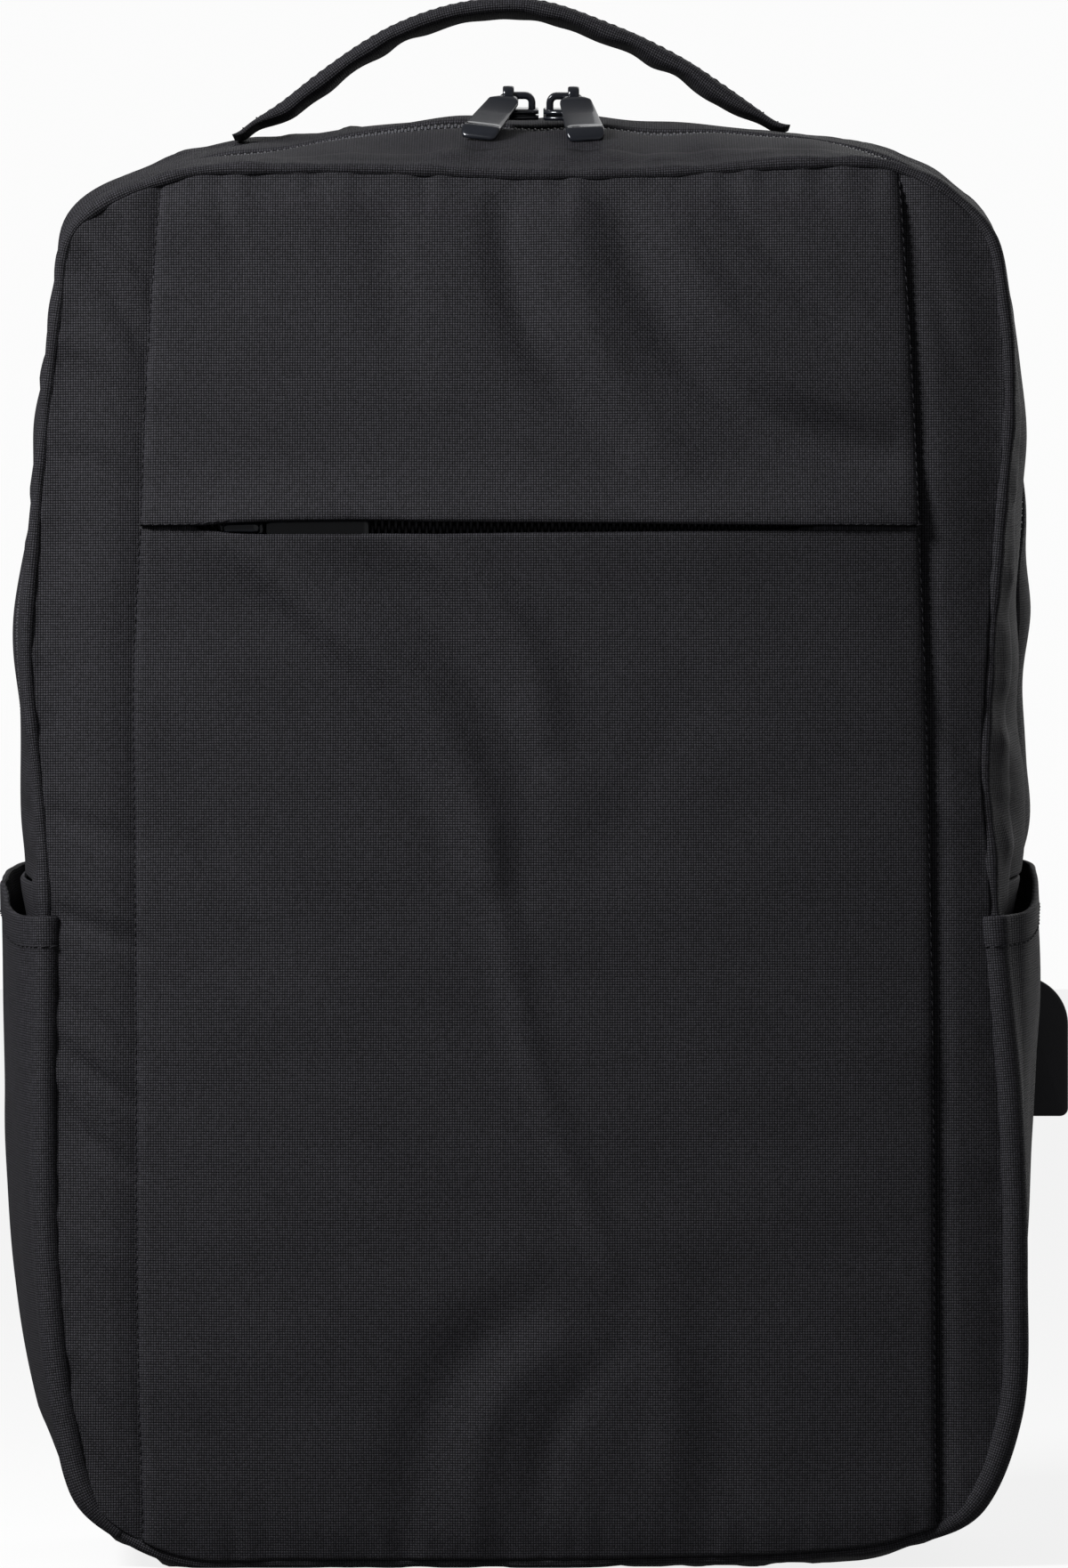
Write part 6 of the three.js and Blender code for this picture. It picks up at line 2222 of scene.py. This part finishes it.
@dataclass
class BackAndStraps:
    """The padded back, the yoke, the shoulder straps and what hangs on them."""

    cloth: SideCloth = field(default_factory=lambda: CLOTH)
    front: FrontCloth = field(default_factory=FrontCloth)
    pad: float = 0.007
    sink: float = 0.0025
    channel: float = 0.007
    channels: tuple[float, float] = (-0.42, 0.42)
    strap_thick: float = 0.010
    top_wide: float = 0.062
    end_wide: float = 0.046
    top_x: float = 0.058
    end_x: float = 0.092
    end_z: float = 0.150
    bow: float = 0.030
    yoke_half: float = 0.104
    yoke_tall: float = 0.034
    yoke_top: float = 0.418
    yoke_thick: float = 0.003
    web_wide: float = 0.025
    web_thick: float = 0.0016
    web_bow: float = 0.003
    slack: Ripples = Ripples(seed=61, longest=0.07, shortest=0.03, lift=0.0007)

    def pad_y(self, x: Array, z: Array) -> Array:
        """Plane of the padded back."""
        b = self.cloth.bag
        groove = np.zeros(np.broadcast(x, z).shape)
        for at in self.channels:
            groove = groove + bell((x - at * b.back_half) / self.channel)
        across = np.maximum(1 - np.abs(x / b.back_half) ** 8, 0)
        upward = np.maximum(1 - np.abs(2 * z / b.back_top - 1) ** 14, 0)
        padding = self.pad - b.cloth - self.sink * np.minimum(groove, 1)
        padding = padding + self.slack.at(x, z) * 0.5
        return b.back_y + b.cloth + padding * np.sqrt(across * upward)

    def back_panel(self) -> Object:
        """The padded back."""
        b, loop = self.cloth.bag, self.cloth.loop
        low = [loop.on_side(side, SIDES[0].z * b.front_top) for side in Side]
        high = [loop.on_side(side, SIDES[-1].z * b.front_top) for side in Side]

        def carried(first: float, last: float) -> Line:
            """A stretch of the seam, carried to the back."""
            run = self.front.seam(first, last, 2 * b.gap)
            return lambda u: self.cloth.carried(*run(u), 1.0)

        x, z = FrontCloth.patch(carried(low[0], high[0]), carried(low[1], high[1]), carried(low[0] + 1, low[1]),
                                carried(high[0], high[1]), spaced(110, 0.29, 0.0015), spaced(150, 0.4, 0.0015))
        y = self.pad_y(x, z)
        skin = xyz(x, y, z)
        thick = np.maximum(y - b.back_y + b.cloth / 2, b.cloth)
        facing = self.front.facing(self.pad_y, x, z, way=1)
        sheet = ClothSheet("padded_back", skin, thick, edge=0.003, plan=pairs(x, z), facing=facing)
        piece = place_piece(sheet.build(), WARDROBE.mesh, ["back_panel"])
        return piece

    def strap_line(self, side: Side, u: Array) -> Array:
        """Middle of a strap at shares of its length."""
        b = self.cloth.bag
        top = self.yoke_top - self.yoke_tall - b.gap
        z = top + (self.end_z - top) * u
        x = side.value * (self.top_x + (self.end_x - self.top_x) * u**1.6)
        y = b.back_y + self.pad + self.strap_thick / 2 + 2 * b.gap
        y = y + self.bow * np.sin(math.pi * u**0.8) ** 1.2 * (1 - 0.2 * u)
        return xyz(x, y, z)

    def strap(self, side: Side) -> None:
        """One shoulder strap with bound edges."""
        name = side.name.lower()
        u = spaced(110, 0.25, 0.004)
        middle = self.strap_line(side, u)
        way = unit(np.gradient(middle, axis=0))
        across = np.array([1.0, 0, 0]) - way * way[:, :1]
        across = unit(across)
        out = np.cross(across, way)
        wide = self.top_wide + (self.end_wide - self.top_wide) * u**0.8
        to_end = np.minimum(u, 1 - u) * 0.25
        close = np.sqrt(np.clip(1 - (1 - np.clip(to_end / 0.004, 0, 1)) ** 2, 0, 1)) * 0.9 + 0.1
        shape = oval(40, 2.7)
        rings = swept(middle, across, out, wide * 0.97, self.strap_thick * 0.96 * close, shape)
        top, end = self.strap_line(side, np.array([0.0, 1.0]))[:, 2]
        rings[..., 2] = np.clip(rings[..., 2], end, top)
        piece = place_piece(Ringed(f"padded_strap_{name}", rings).build(), WARDROBE.mesh, [f"shoulder_strap_{name}"])
        draft, stitches, binding = Draft(), Stitches(pitch=0.0032), Draft()
        for edge in (-1, 1):
            line = middle + across * (edge * wide * 0.465)[:, None]
            girth = self.strap_thick * 0.50 * np.clip(close + 0.1, 0, 1)
            rings = swept(line, across, out, 0.0052, girth, oval(18, 2.4))
            rings[..., 2] = np.clip(rings[..., 2], end, top)
            Ringed("edge", rings).draft(binding)
            seam = middle + across * (edge * (wide * 0.44))[:, None] + out * self.strap_thick * 0.27
            stitches.row(draft, seam[8:-8], out[8:-8])
        place_piece(binding.finish(f"strap_binding_{name}"), WARDROBE.rolled)
        place_piece(draft.finish(f"strap_stitching_{name}"), WARDROBE.thread)

    def yoke(self) -> None:
        """The cloth patch over the roots of the straps, with its box stitching."""
        b = self.cloth.bag
        x, z = np.meshgrid(np.linspace(-self.yoke_half, self.yoke_half, 90),
                           np.linspace(self.yoke_top - self.yoke_tall, self.yoke_top, 26))
        y = b.back_y + self.pad + self.yoke_thick + 2 * b.gap + self.slack.at(x, z) * 0.35
        sheet = ClothSheet("yoke_cloth", xyz(x, y, z), self.yoke_thick, edge=0.0015, plan=pairs(x, z))
        place_cloth(sheet, WARDROBE.woven, ["strap_yoke"])
        draft, stitches = Draft(), Stitches(pitch=0.0030)
        up = np.array([0.0, 1.0, 0.0])
        deep = float(y.mean()) + 0.0001
        low, high = self.yoke_top - self.yoke_tall + 0.004, self.yoke_top - 0.004
        runs = [[(-self.yoke_half + 0.004, low), (self.yoke_half - 0.004, low), (self.yoke_half - 0.004, high),
                 (-self.yoke_half + 0.004, high), (-self.yoke_half + 0.004, low)]]
        for side in Side:
            a, c = side.value * self.top_x - 0.026, side.value * self.top_x + 0.026
            runs += [[(a, low + 0.003), (c, high - 0.003)], [(a, high - 0.003), (c, low + 0.003)]]
        for run in runs:
            for (x0, z0), (x1, z1) in zip(run[:-1], run[1:]):
                line = np.linspace([x0, deep, z0], [x1, deep, z1], 30)
                stitches.row(draft, line, same(up, 30))
        place_piece(draft.finish("yoke_stitching"), WARDROBE.thread)

    def hardware(self, side: Side) -> None:
        """Adjuster, webbing and tab on one side."""
        name = side.name.lower()
        low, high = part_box(f"ladder_lock_{name}")
        bar = 0.003
        corners = [(low.x, low.z), (high.x, low.z), (high.x, high.z), (low.x, high.z)]
        frame_plate = plate(f"strap_adjuster_{name}", corners, low.y, high.y)
        slot_tall = (high.z - low.z - 3 * bar) / 2
        holes = []
        for z in (low.z + bar, low.z + 2 * bar + slot_tall):
            left, right, top = low.x + bar, high.x - bar, z + slot_tall
            corners = [(left, z), (right, z), (right, top), (left, top)]
            holes.append(plate("slot_cutter", corners, low.y - 0.002, high.y + 0.002))
        adjuster = bevelled(cut(frame_plate, holes), 0.0007, 3)
        place_piece(adjuster, WARDROBE.plastic, [f"ladder_lock_{name}"])
        anchor_low, anchor_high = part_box(f"strap_anchor_{name}")
        u = np.linspace(0, 1, 60)
        start = np.array([side.value * self.end_x, (low.y + high.y) / 2, low.z - BAG.gap])
        anchor = [(anchor_low[k] + anchor_high[k]) / 2 for k in (0, 1)]
        end = np.array([*anchor, anchor_high.z + BAG.gap])
        middle = start + (end - start) * u[:, None]
        middle[:, 1] += self.web_bow * np.sin(math.pi * u)
        across, out = same([1.0, 0, 0], 60), same([0.0, 1.0, 0.0], 60)
        rings = swept(middle, across, out, self.web_wide, self.web_thick, oval(28, 6.0))
        place_piece(Ringed(f"lower_webbing_{name}", rings).build(), WARDROBE.webbing, [f"strap_webbing_{name}"])
        self.tab(side, anchor_low, anchor_high)

    def tab(self, side: Side, low: Any, high: Any) -> None:
        """The sewn tab that holds the webbing."""
        name = side.name.lower()
        half, tall = (high.x - low.x) / 2, high.z - low.z
        mid = (high.x + low.x) / 2
        web = self.web_wide / 2
        rows = np.linspace(0, 1, 20)
        outer = np.interp(rows, [0, 0.4, 1], [half * 0.7, half, web])
        inner = np.interp(rows, [0, 1], [-half, -web])
        a, c = (inner, outer) if side is Side.RIGHT else (-outer, -inner)
        grid_x = mid + a[:, None] + (c - a)[:, None] * np.linspace(0, 1, 24)[None, :]
        grid_z = np.broadcast_to((low.z + tall * rows)[:, None], grid_x.shape)
        grid_y = np.full(grid_x.shape, high.y)
        skin = xyz(grid_x, grid_y, grid_z)
        sheet = ClothSheet(f"webbing_tab_{name}", skin, high.y - low.y, edge=0.0014, plan=pairs(grid_x, grid_z))
        place_cloth(sheet, WARDROBE.woven, [f"strap_anchor_{name}"])
        draft, stitches = Draft(), Stitches(pitch=0.0030)
        for run in (Run.ALONG_ROWS, Run.ALONG_COLUMNS):
            for from_end in (False, True):
                line, ways = sheet.line(run, 0.003, from_end)
                stitches.row(draft, line[2:-2], ways[2:-2])
        place_piece(draft.finish(f"tab_stitching_{name}"), WARDROBE.thread)

    def build(self) -> None:
        """Builds, dresses and places the back."""
        self.back_panel()
        self.yoke()
        for side in Side:
            self.strap(side)
            self.hardware(side)


# Studio


@dataclass
class Studio:
    """Floor, lights and the camera that stands where the photographer stood."""

    distance: float = 2.860
    centre_x: float = 0.0045
    centre_z: float = 0.2326
    sensor: float = 24.0
    floor_half: float = 8.0
    aim_height: float = 0.24

    def camera(self) -> None:
        """Makes the camera, level with the middle of the bag."""
        data = bpy.data.cameras.new("camera")
        data.sensor_fit, data.sensor_height, data.sensor_width = "VERTICAL", self.sensor, self.sensor
        data.lens = self.sensor / 2 * self.distance / self.centre_z
        obj = bpy.data.objects.new("camera", data)
        obj.location = (self.centre_x, BAG.front_y - self.distance, self.centre_z)
        obj.rotation_euler = (math.pi / 2, 0, 0)
        bpy.context.scene.collection.objects.link(obj)
        bpy.context.scene.camera = obj

    def lamp(self, kind: str, name: str, place: tuple[float, float, float], aim: Vector, **settings: Any) -> Object:
        """A light.

        Args:
            kind: its type, SUN or AREA.
            name: its name.
            place: where it stands.
            aim: the point that it shines at.
            settings: its own settings, such as energy.

        Returns:
            The light.
        """
        data = bpy.data.lights.new(name, kind)
        for key, value in settings.items():
            setattr(data, key, value)
        obj = bpy.data.objects.new(name, data)
        obj.location = place
        obj.rotation_euler = (Vector(place) - aim).to_track_quat("Z", "Y").to_euler()
        bpy.context.scene.collection.objects.link(obj)
        return obj

    def sun(self, name: str, place: tuple[float, float, float], spread: float, power: float) -> None:
        """A far soft light that shines from a place towards the floor's middle."""
        self.lamp("SUN", name, place, Vector((0, 0, 0)), angle=math.radians(spread), energy=power)

    def softbox(self, name: str, place: tuple[float, float, float], size: float, power: float) -> None:
        """A near square soft light that faces the bag."""
        aim = Vector((0.0, BAG.front_y, self.aim_height))
        box = self.lamp("AREA", name, place, aim, shape="SQUARE", size=size, energy=power)
        box.visible_camera = False

    def surround(self, shown: float, given: float) -> None:
        """White surroundings.

        Args:
            shown: how bright they look.
            given: how much light they give.
        """
        world = bpy.data.worlds.new("studio")
        world.use_nodes = True
        tree = world.node_tree
        ray = tree.nodes.new("ShaderNodeLightPath")
        level = tree.nodes.new("ShaderNodeMapRange")
        level.inputs["To Min"].default_value, level.inputs["To Max"].default_value = given, shown
        tree.links.new(ray.outputs["Is Camera Ray"], level.inputs["Value"])
        tree.nodes["Background"].inputs[0].default_value = (1, 1, 1, 1)
        tree.links.new(level.outputs[0], tree.nodes["Background"].inputs[1])
        bpy.context.scene.world = world

    def build(self) -> None:
        """Sets the stage."""
        draft = Draft()
        corners = np.array([[-1, -1, 0], [1, -1, 0], [1, 1, 0], [-1, 1, 0]]) * self.floor_half
        draft.add(corners, [[0, 1, 2, 3]])
        floor = draft.finish("studio_floor")
        floor.data.materials.append(PlainFloor().build())
        bpy.context.scene.view_settings.view_transform = "Standard"
        floor.visible_diffuse = floor.visible_glossy = False
        self.surround(shown=0.97, given=0.13)
        self.softbox("key", (-0.95, -0.80, 1.10), 0.40, 27.0)
        self.sun("fill", (1.8, -1.8, 0.5), 70, 0.10)
        self.sun("top", (0.2, 0.4, 2.2), 90, 0.10)
        self.sun("behind", (1.2, 2.4, 1.2), 60, 0.7)
        self.camera()


def main() -> None:
    """Builds the bag in order."""
    Studio().build()
    front = FrontCloth()
    front.build()
    FrontZip(front).build()
    SideWalls().build()
    MainZip().build()
    SidePockets().build()
    CarryHandle().build()
    ZipHardware().build()
    SocketHousing().build()
    BackAndStraps(front=front).build()


if __name__ == "__main__":
    main()
